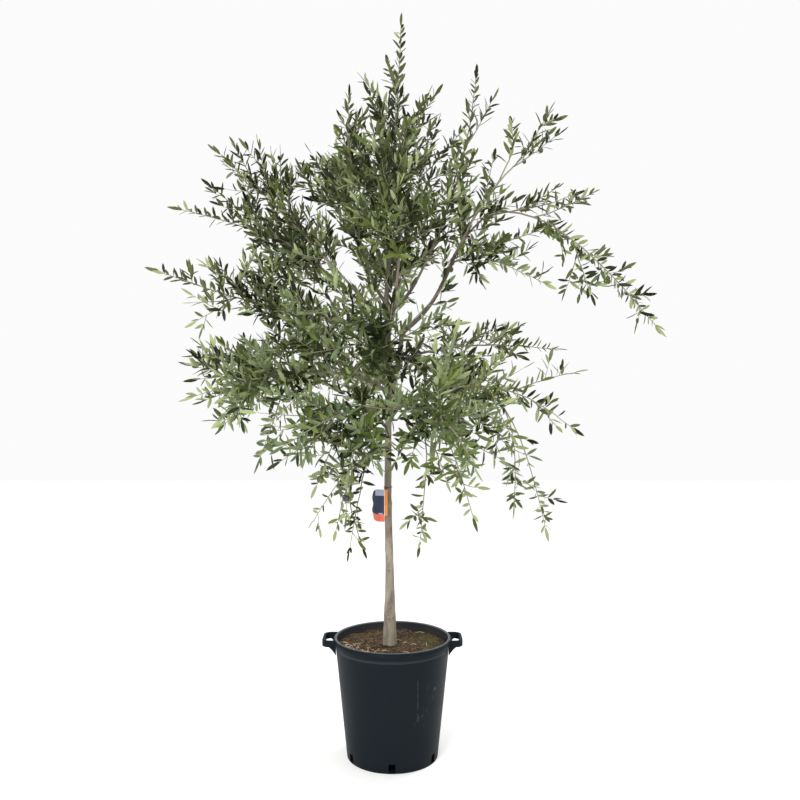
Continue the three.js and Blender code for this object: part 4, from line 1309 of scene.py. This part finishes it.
def bar_section():
    """A rounded oblong, as (across, up) places."""
    half, tall, bevel = HANDLE_BAR["width"] / 2, HANDLE_BAR["height"] / 2, HANDLE_BAR["round"]
    places = []
    for turn, (sx, sy) in zip((0, 90, 180, 270), ((1, 1), (-1, 1), (-1, -1), (1, -1))):
        for step in (0, 30, 60, 90):
            angle = math.radians(turn + step)
            places.append((sx * (half - bevel) + bevel * math.cos(angle),
                           sy * (tall - bevel) + bevel * math.sin(angle)))
    return places


class OLIVE_OT_handles(bpy.types.Operator):
    """Builds the two grab handles with the gussets under their legs"""

    bl_idname = "olive.handles"
    bl_label = "Handles"

    def execute(self, context):
        finish = plastic_finish(context.scene.olive_pot)
        for name, side in (("handle_right", 1), ("handle_left", -1)):
            batch = Batch()
            line = np.array(handle_line(side))
            along = np.gradient(line, axis=0)
            along /= np.linalg.norm(along, axis=1)[:, None]
            level = np.cross(along, UP)
            section = bar_section()
            points = np.concatenate([line[:, None] + level[:, None] * x + np.array(UP) * y
                                     for x, y in section], axis=1).reshape(-1, 3)
            rings, sides = len(line), len(section)
            batch.add(points, [ring_faces(rings, sides), end_faces(rings, sides)])
            for end in (-1, 1):
                batch.add(*self.gusset(side, end))
            piece = batch.build(name.replace("handle", "grab_handle"), [finish])
            turn_outward(piece)
            crease(piece, 40)
            stand_in(piece, "pot", name)
        return {"FINISHED"}

    def gusset(self, side, end):
        """A plate under a leg whose free edge is hollowed between the bar and the wall."""
        top = POT_TOP - HANDLE_BAR["height"] + 0.001
        wall, tip = NECK_RADIUS - 0.005, RIM_RADIUS + RIB["reach"]
        low = top - 0.001 - RIB["drop"]
        hollow = (NECK_RADIUS + RIB["hollow"], top - RIB["hollow"])
        edge = bezier(Vector((tip, top, 0)), Vector((*hollow, 0)), Vector((wall, low, 0)))
        outline = [(wall, top)] + [tuple(edge(step / 8))[:2] for step in range(9)]
        y = end * (HANDLE_HALF - HANDLE_BAR["width"] / 2)
        points = np.array([(x * side, y + face * RIB["thick"] / 2, z)
                           for face in (-1, 1) for x, z in outline])
        sides = len(outline)
        loop = np.arange(sides)
        return points, [ring_faces(2, sides), fan(loop, (wall, top), outline),
                        fan(loop, (wall, top), outline)[:, ::-1] + sides]


def fan(loop, centre, outline):
    """Three-cornered faces from the outline's point nearest to centre to all its other edges."""
    hub = min(range(len(outline)), key=lambda at: math.dist(outline[at], centre))
    count = len(loop)
    return np.array([(hub, (hub + step) % count, (hub + step + 1) % count) for step in range(1, count - 1)])


def soil_height(x, y):
    """Height of the rough, mounded surface of the soil."""
    reach = math.hypot(x, y)
    mound = MOUND_RISE * (1 - min(max((reach - MOUND_RADIUS) / (SOIL_RADIUS - MOUND_RADIUS), 0), 1))
    rough = 0.0035 * noise.noise(Vector((x, y, 0)) * 22) + 0.002 * noise.noise(Vector((x, y, 3)) * 70)
    return SOIL_TOP - 0.0025 - MOUND_RISE + mound + rough


def on_soil(radius, turn):
    """The place on the soil at a distance from the pot's axis and a turn from +X."""
    x, y = radius * math.cos(turn), radius * math.sin(turn)
    return Vector((x, y, soil_height(x, y)))


class OLIVE_OT_soil(bpy.types.Operator):
    """Builds the soil with its bark chips, straw and moss"""

    bl_idname = "olive.soil"
    bl_label = "Soil"

    def execute(self, context):
        settings = context.scene.olive_pot
        bed = self.bed(soil_finish(settings))
        stand_in(bed, "soil", "soil")
        draw = draws(7)
        litter = Batch()
        size = settings.chip_size
        for count, tints, make in (
            (settings.chips, (0, 1), lambda: self.chip(size, self.spot(draw), draw)),
            (LITTER["front_chips"], (2,), lambda: self.chip(size * 1.2, self.front_spot(draw), draw)),
            (LITTER["straws"], (3,), lambda: self.straw(self.spot(draw, 0.85), draw)),
            (LITTER["front_straws"], (3,), lambda: self.straw(self.front_spot(draw), draw)),
            (LITTER["tufts"], (4,), lambda: self.tuft(draw)),
        ):
            for index in range(count):
                litter.add(*make(), tints[index % len(tints)])
        chip = tuple(settings.chip)
        materials = [
            fleck_finish("bark_chip", chip),
            fleck_finish("dark_chip", scaled(chip, 0.42)),
            fleck_finish("pale_chip", scaled(chip, 2.2, 2.6, 2.9)),
            fleck_finish("dry_straw", tuple(settings.straw), 0.2),
            fleck_finish("moss", tuple(settings.moss), 0.4),
        ]
        piece = litter.build("soil_litter", materials, False)
        return {"FINISHED"}

    def bed(self, material):
        """The surface of the soil, from a ring under its edge inwards."""
        sides, rings = SOIL_MESH["sides"], SOIL_MESH["rings"]
        turns = [2 * math.pi * side / sides for side in range(sides)]
        points = [on_soil(SOIL_RADIUS - 0.005, turn) for turn in turns]
        for point in points:
            point.z = SOIL_TOP - SOIL_DEPTH
        for ring in range(rings):
            points += [on_soil(SOIL_RADIUS * (1 - ring / rings), turn) for turn in turns]
        bed = make_piece("soil_bed", np.array(points),
                         [ring_faces(rings + 1, sides), end_faces(rings + 1, sides)], [material])
        turn_outward(bed)
        return bed

    def spot(self, draw, reach=0.97):
        """A place on the soil that isn't under the trunk."""
        while True:
            radius = SOIL_RADIUS * reach * math.sqrt(draw())
            spot = on_soil(radius, 2 * math.pi * draw())
            if math.dist(spot.xy, TRUNK_SWAY[0][:2]) > TRUNK_CLEAR:
                return spot

    def front_spot(self, draw):
        """A place in the left front part of the soil, more likely near its edge."""
        radius = SOIL_RADIUS * (0.35 + 0.6 * math.sqrt(draw()))
        return on_soil(radius, math.radians(178 + 78 * draw()))

    def chip(self, size, spot, draw):
        """A flat six-sided piece of bark that lies tilted on the soil."""
        long, wide = size * (0.35 + draw() ** 2 * 1.1), size * (0.15 + 0.3 * draw())
        thick = 0.0008 + 0.0014 * draw()
        shape = [(x * long / 2 * (0.6 + 0.4 * draw()), y * wide / 2 * (0.5 + 0.5 * draw()), z * thick / 2)
                 for z in (-1, 1) for x, y in CHIP_OUTLINE]
        turn, tilt, roll = 6.28 * draw(), 0.7 * (draw() - 0.5), 0.9 * (draw() - 0.5)
        spin = Euler((roll, tilt, turn)).to_matrix()
        points = np.array([spot + UP * 0.0012 + spin @ Vector(point) for point in shape])
        return points, [ring_faces(2, len(CHIP_OUTLINE)), end_faces(2, len(CHIP_OUTLINE))]

    def straw(self, spot, draw):
        """A thin straw with a slight bow."""
        spot = spot + UP * 0.004
        way = pointing(360 * draw(), 16 * (draw() - 0.4))
        size = 0.012 + 0.035 * draw() ** 2
        bow = UP * size * 0.12 * draw()
        line = [spot - way * size / 2, spot + bow, spot + way * size / 2]
        return tube(line, [0.0006, 0.0009, 0.0005], 4)

    def tuft(self, draw):
        """A tuft of moss on the right of the soil."""
        foot = on_soil(SOIL_RADIUS * (0.45 + 0.5 * draw()), math.radians(-35 + 80 * draw())) - UP * 0.001
        tip = foot + pointing(360 * draw(), 40 + 40 * draw()) * (0.004 + 0.005 * draw())
        return tube([foot, foot.lerp(tip, 0.5), tip], [0.0016, 0.0014, 0.0003], 4)


def limb_relief(points, radii, sides, settings, share_of_relief, collar):
    """Radii round a limb, one row for each point: ridges, pores, knots and a swollen foot."""
    _, side, normal = frames_along(points)
    rows = []
    distance = 0.0
    for index, (point, radius) in enumerate(zip(points, radii)):
        if index:
            distance += float(np.linalg.norm(points[index] - points[index - 1]))
        swell = 1 + collar * math.exp(-distance / 0.012)
        row = []
        for corner in range(sides):
            turn = 2 * math.pi * corner / sides
            radial = side[index] * math.cos(turn) + normal[index] * math.sin(turn)
            spot = Vector(point + radial * radius)
            ridge = noise.noise(Vector((spot.x * 260, spot.y * 260, spot.z * 34)))
            lump = noise.noise(spot * 26)
            crumb = noise.noise(spot * 420)
            raised = settings.relief * share_of_relief * (ridge + 0.35 * crumb)
            row.append(radius * swell * (1 + 0.055 * lump) + raised)
        rows.append(row)
    return np.array(rows)


TRUNK_MESH = {"steps": 300, "sides": 40}
BOUGH_MESH = {"steps": 44, "sides": 16}
STUB_MESH = {"steps": 10, "sides": 14}
FLUTES = {"count": 5, "turn": 0.6, "depth": 0.0022, "fade": 0.022}  # of the trunk's foot
KNOT = {"rise": 0.0024, "pit": 0.0026, "narrow": 2.6}
TRUNK_CAP = ((1.0, 0.86), (1.7, 0.55), (2.1, 0.2))  # steps past the fork, share of the radius there


class OLIVE_OT_limbs(bpy.types.Operator):
    """Builds the bark of the trunk and the boughs, with knots and pruned stubs"""

    bl_idname = "olive.limbs"
    bl_label = "Trunk and boughs"

    def execute(self, context):
        settings = context.scene.olive_bark
        finish = bark_finish(settings)
        limbs = grow_limbs()
        trunk = self.trunk(limbs["trunk"], settings, finish)
        stand_in(trunk, "bark", "trunk")
        boughs = Batch()
        for name in BOUGHS:
            limb = limbs[name]
            steps, sides = BOUGH_MESH["steps"], BOUGH_MESH["sides"]
            points = np.array([limb.curve(step / steps) for step in range(steps + 1)])
            radii = np.linspace(limb.foot, limb.tip, steps + 1)
            boughs.add(*tube(points, limb_relief(points, radii, sides, settings, 0.6, 0.45), sides))
        for name, share, heading, pitch, size, radius in STUBS:
            start = limbs[name].curve(share)
            way = pointing(heading, pitch)
            steps, sides = STUB_MESH["steps"], STUB_MESH["sides"]
            points = np.array([start + way * size * step / steps for step in range(steps + 1)])
            radii = np.full(steps + 1, radius)
            radii[-1] *= 0.86
            boughs.add(*tube(points, limb_relief(points, radii, sides, settings, 0.6, 0.5), sides))
        piece = boughs.build("bough_bark", [finish])
        crease(piece, 50)
        stand_in(piece, "bark", *BOUGHS)
        return {"FINISHED"}

    def trunk(self, limb, settings, finish):
        """The trunk with its fluted foot, its knots and the rounded end inside the fork."""
        steps, sides = TRUNK_MESH["steps"], TRUNK_MESH["sides"]
        points = np.array([limb.curve(step / steps) for step in range(steps + 1)])
        radii = [trunk_radius(step / steps) for step in range(steps + 1)]
        rows = limb_relief(points, radii, sides, settings, 1, 0)
        _, side, normal = frames_along(points)
        turn = 2 * math.pi * np.arange(sides) / sides
        for index in range(steps + 1):
            climb = points[index][2] - SOIL_TOP
            fluting = 0.5 + np.cos(turn * FLUTES["count"] + FLUTES["turn"])
            rows[index] += FLUTES["depth"] * math.exp(-climb / FLUTES["fade"]) * fluting
        for height, heading, size in KNOTS:
            facing = np.array(pointing(heading, 0))
            for index in range(steps + 1):
                rise = (points[index][2] - height) / (size * 0.75)
                if abs(rise) > 3:
                    continue
                radial = side[index] * np.cos(turn)[:, None] + normal[index] * np.sin(turn)[:, None]
                away = np.arccos(np.clip(radial @ facing, -1, 1)) * radii[index] / (size * 0.8)
                spread = np.sqrt(away ** 2 + rise ** 2)
                pit = KNOT["pit"] * np.exp(-(spread * KNOT["narrow"]) ** 2)
                rows[index] += KNOT["rise"] * np.exp(-spread ** 2) - pit
        past, shares = np.array(TRUNK_CAP).T[..., None]
        points = np.concatenate([points, points[-1] + (points[-1] - points[-2]) * past])
        rows = np.concatenate([rows, rows[-1] * shares])
        return make_piece("trunk_bark", *tube(points, rows, sides), [finish])


class OLIVE_OT_twigs(bpy.types.Operator):
    """Builds the stems, shoots and fine twigs of the crown"""

    bl_idname = "olive.twigs"
    bl_label = "Twigs"

    def execute(self, context):
        crown = grow_crown()
        bark = tuple(context.scene.olive_bark.bark)
        twig = tuple(context.scene.olive_bark.twig)
        older = tuple(0.5 * (one * 0.8 + two) for one, two in zip(bark, twig))
        materials = [Finish("old_shoot", older, 0.8).material, Finish("young_shoot", twig, 0.7).material]
        names = list(MASSES)
        for part, members in CROWN_PARTS.items():
            batch = Batch()
            for line in crown.lines:
                if names[line.mass] in members:
                    sides = 4 if line.kind == "twig" else 6
                    batch.add(*tube(line.points, line.radii, sides), int(line.kind == "twig"))
            piece = batch.build(f"twigs_{part}", materials)
            stand_in(piece, "foliage", *(f"foliage_{name}" for name in members))
        return {"FINISHED"}


class OLIVE_OT_leaves(bpy.types.Operator):
    """Builds the leaves, with a silvery underside and one tint for each spray"""

    bl_idname = "olive.leaves"
    bl_label = "Leaves"

    def execute(self, context):
        settings = context.scene.olive_foliage
        crown = grow_crown()
        materials = []
        for upper, under, _, _ in TINTS:
            materials.append(leaf_finish(f"leaf_{upper}_over_{under}", getattr(settings, upper), 0.46))
            materials.append(leaf_finish(f"leaf_{under}_under_{upper}", getattr(settings, under), 0.7))
        for part, members in CROWN_PARTS.items():
            leaves = [leaf for name in members for leaf in crown.leaves[name]]
            points, faces, tints, outline = leaf_mesh(leaves, settings)
            piece = make_piece(f"leaves_{part}", points, [faces], materials, tints, True, outline)
            stand_in(piece, "foliage", *(f"foliage_{name}" for name in members))
        return {"FINISHED"}


class OLIVE_OT_olives(bpy.types.Operator):
    """Builds the green and the ripe olives on their stalks"""

    bl_idname = "olive.olives"
    bl_label = "Olives"

    def execute(self, context):
        settings = context.scene.olive_foliage
        crown = grow_crown()
        draw = draws(31)
        green, ripe = Batch(), Batch()
        for mass, line, share, green_count, ripe_count in OLIVES:
            route = Route(crown.hosts[mass][line].points)
            for index in range(green_count + ripe_count):
                batch = green if index < green_count else ripe
                at = share + 0.05 * (draw() - 0.5)
                way = (pointing(360 * draw(), -20) + Vector((0, 0, -0.8 * draw()))).normalized()
                self.hang(batch, route(at), way, settings.olive_length * (0.82 + 0.3 * draw()), draw)
        base = tuple(settings.green_fruit)
        dark = tuple(settings.ripe_fruit)
        stalk = leaf_finish("fruit_stalk", context.scene.olive_bark.twig, 0.7)
        for name, batch, finish in (
            ("olives_green", green, fruit_finish("green_olive_skin", base, scaled(base, 1.25, 1.15, 0.9))),
            ("olives_ripe", ripe, fruit_finish("ripe_olive_skin", dark, scaled(dark, 1.6))),
        ):
            piece = batch.build(name, [finish, stalk])
        return {"FINISHED"}

    def hang(self, batch, root, way, size, draw):
        """An olive on a short curved stalk."""
        stalk = 0.007 + 0.008 * draw()
        elbow = root + way * stalk * 0.6
        top = elbow - UP * stalk * 0.5 + way * stalk * 0.2
        batch.add(*tube([root, elbow, top], [0.0008, 0.0006, 0.0009], 4), 1)
        hang = (way * 0.35 - UP).normalized()
        rings = 9
        shares = [0.01, *[(1 - math.cos(math.pi * ring / rings)) / 2 for ring in range(1, rings)], 0.99]
        line = [top + hang * size * share for share in shares]
        radii = [size * 0.37 * math.sqrt(max(1 - (2 * share - 1) ** 2, 0.0004)) for share in shares]
        batch.add(*tube(line, radii, 12), 0)


class OLIVE_OT_label(bpy.types.Operator):
    """Builds the plant label and the strap that holds it"""

    bl_idname = "olive.label"
    bl_label = "Plant label"

    def execute(self, context):
        settings = context.scene.olive_label
        materials = [card_finish(f"label_{part}", tuple(getattr(settings, part)))
                     for part in ("card", "corner", "foot", "strip", "line")]
        label = self.card(materials)
        stand_in(label, "label", "plant_label")
        tie = self.tie(card_finish("tie_strap", tuple(settings.tie)))
        stand_in(tie, "tie", "label_tie")
        return {"FINISHED"}

    def card(self, materials):
        """The folded card, from the strip's free edge round to the flap's."""
        low, high = LABEL_LOW[2], LABEL_HIGH[2]
        middle, radius = trunk_at((low + high) / 2)
        clear = radius + CARD["clear"]
        fold = Vector((-clear * 0.75, -clear * 0.8, 0))
        flap = bezier(fold, fold - SIDE * CARD["bulge"], fold + Vector(CARD["flap"]))
        path = [Vector((fold.x + CARD["strip"], -clear, 0)),
                Vector((fold.x + CARD["line"], -clear * 0.84, 0))]
        path += [flap(step / CARD["columns"]) for step in range(CARD["columns"] + 1)]
        rows, corner = CARD["rows"], CARD["corner"]
        points = []
        for row in range(rows + 1):
            front = []
            for column, spot in enumerate(path):
                edge = max(0, 1 - (spot.x - path[-1].x) / corner)
                inset = corner * (1 - math.sqrt(1 - edge ** 2))
                foot = low + inset + (CARD["shorter"] if column < 2 else 0)
                climb = row / rows
                z = foot + (high - inset - foot) * climb
                sway = Vector((0.0016 * math.cos(11 * climb), -0.004 * math.sin(3.1 * climb), 0)) * edge
                front.append(middle.xy.to_3d() + spot + sway + UP * z)
            points += front + [spot + Vector((0, CARD["thick"], 0)) for spot in reversed(front)]
        sides = 2 * len(path)
        tints = []
        for row in range(rows):
            for side in range(sides):
                column = side if side < len(path) else sides - 1 - side
                tints.append(self.tint(column, (row + 0.5) / rows))
        caps = [2] * (sides - 2) + [1] * (sides - 2)
        faces = [ring_faces(rows + 1, sides), self.caps(rows, sides)]
        piece = make_piece("plant_card", np.array(points), faces, materials, tints + caps)
        turn_outward(piece)
        crease(piece, 40)
        return piece

    def caps(self, rows, sides):
        """The card's thin lower and upper edges."""
        half = sides // 2
        quads = []
        for base in (0, rows * sides):
            for step in range(half - 1):
                a, b = base + step, base + step + 1
                c, d = base + sides - 2 - step, base + sides - 1 - step
                quads += [(a, b, c), (a, c, d)]
        return np.array(quads)

    def tint(self, column, climb):
        """Which colour a part of the card has: 0 field, 1 corner, 2 foot, 3 strip, 4 line."""
        if column < 2:
            return 3 + column
        along = (column - 2) / CARD["columns"]
        if climb < 0.22:
            return 2
        if climb < 0.28 and 0.1 < along < 0.5:
            return 1
        return 1 if climb > 0.8 and along < 0.75 else 0

    def tie(self, material):
        """The strap round the trunk and its short loose end."""
        low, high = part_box("label_tie")
        centre, radius = trunk_at((low[2] + high[2]) / 2)
        radius += TIE["gap"]
        thick, sides = TIE["thick"], TIE["sides"]
        batch = Batch()
        turns = np.linspace(0, 2 * math.pi, TIE["steps"] + 1)
        ring = [centre + Vector((radius * math.cos(turn), radius * math.sin(turn), 0.0006 * math.sin(turn)))
                for turn in turns]
        batch.add(*tube(ring, np.full(len(turns), thick), sides))
        corner = centre + Vector((-radius * 0.72, -radius * 0.72, 0))
        end = [corner, corner + Vector((-0.002, -0.002, -0.004)), corner + Vector((-0.001, -0.003, -0.011))]
        batch.add(*tube(end, [thick, thick, 0.001], sides))
        return batch.build("label_strap", [material])


FLOOR_HALF = 9
# name, place, size and share of the key light's strength of the soft lamps
LAMPS = (
    ("key", (-1.5, -3.6, 2.9), 1.8, 1),
    ("rim", (2.4, 2.2, 3.6), 1.6, 0.5),
)


class OLIVE_OT_stage(bpy.types.Operator):
    """Sets up the floor, the light and the camera"""

    bl_idname = "olive.stage"
    bl_label = "Stage"

    def execute(self, context):
        settings = context.scene.olive_stage
        self.floor(settings)
        self.light(context, settings)
        camera = bpy.data.objects.new("camera", bpy.data.cameras.new("camera"))
        context.scene.collection.objects.link(camera)
        camera.location = EYE
        camera.rotation_euler = (math.pi / 2, 0, 0)
        camera.data.lens = settings.lens
        camera.data.sensor_width = 36
        context.scene.camera = camera
        return {"FINISHED"}

    def floor(self, settings):
        corners = [(x * FLOOR_HALF, y * FLOOR_HALF, 0) for x, y in ((-1, -1), (1, -1), (1, 1), (-1, 1))]
        mesh = bpy.data.meshes.new("floor")
        mesh.from_pydata(corners, [], [(0, 1, 2, 3)])
        finish = Finish("pale_floor", tuple(settings.floor), 0.8, specular=0.2)
        cloud = finish.grain(1.5, 3)
        finish.feed("Base Color", finish.tint(cloud * 0.06, tuple(settings.floor), (0.8, 0.8, 0.8)))
        finish.feed("Emission Color", (1, 1, 1, 1))
        finish.feed("Emission Strength", 0.12)
        mesh.materials.append(finish.material)
        floor = bpy.data.objects.new("floor", mesh)
        bpy.context.scene.collection.objects.link(floor)
        floor.location.z = -0.0005

    def light(self, context, settings):
        world = bpy.data.worlds.new("studio")
        world.use_nodes = True
        back = world.node_tree.nodes["Background"]
        back.inputs["Color"].default_value = (1, 1, 1, 1)
        back.inputs["Strength"].default_value = settings.sky
        context.scene.world = world
        context.scene.view_settings.view_transform = "Standard"
        for name, spot, size, share in LAMPS:
            lamp = bpy.data.objects.new(name, bpy.data.lights.new(name, "AREA"))
            lamp.data.energy = settings.key * share
            lamp.data.size = size
            lamp.location = spot
            lamp.rotation_euler = (UP * 1.3 - Vector(spot)).to_track_quat("-Z", "Y").to_euler()
            context.scene.collection.objects.link(lamp)


class OLIVE_PT_panel(bpy.types.Panel):
    """Lists the pieces of the olive tree and their settings"""

    bl_idname = "OLIVE_PT_panel"
    bl_label = "Olive Tree"
    bl_space_type = "VIEW_3D"
    bl_region_type = "UI"
    bl_category = "Olive Tree"

    def draw(self, context):
        for operator in OPERATORS:
            self.layout.operator(operator.bl_idname)
        for name in SETTINGS:
            group = getattr(context.scene, name)
            box = self.layout.box()
            for key in group.bl_rna.properties.keys():
                if key not in ("rna_type", "name"):
                    box.prop(group, key)


OPERATORS = (OLIVE_OT_pot, OLIVE_OT_handles, OLIVE_OT_soil, OLIVE_OT_limbs, OLIVE_OT_twigs,
             OLIVE_OT_leaves, OLIVE_OT_olives, OLIVE_OT_label, OLIVE_OT_stage)
SETTINGS = {
    "olive_pot": OlivePotSettings,
    "olive_bark": OliveBarkSettings,
    "olive_foliage": OliveFoliageSettings,
    "olive_label": OliveLabelSettings,
    "olive_stage": OliveStageSettings,
}


def register():
    for group in (*SETTINGS.values(), *OPERATORS, OLIVE_PT_panel):
        bpy.utils.register_class(group)
    for name, group in SETTINGS.items():
        setattr(bpy.types.Scene, name, PointerProperty(type=group))


def unregister():
    for name in SETTINGS:
        delattr(bpy.types.Scene, name)
    for group in (OLIVE_PT_panel, *OPERATORS, *SETTINGS.values()):
        bpy.utils.unregister_class(group)


def main():
    register()
    for operator in OPERATORS:
        family, name = operator.bl_idname.split(".")
        getattr(getattr(bpy.ops, family), name)()
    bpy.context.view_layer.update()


if __name__ == "__main__":
    main()
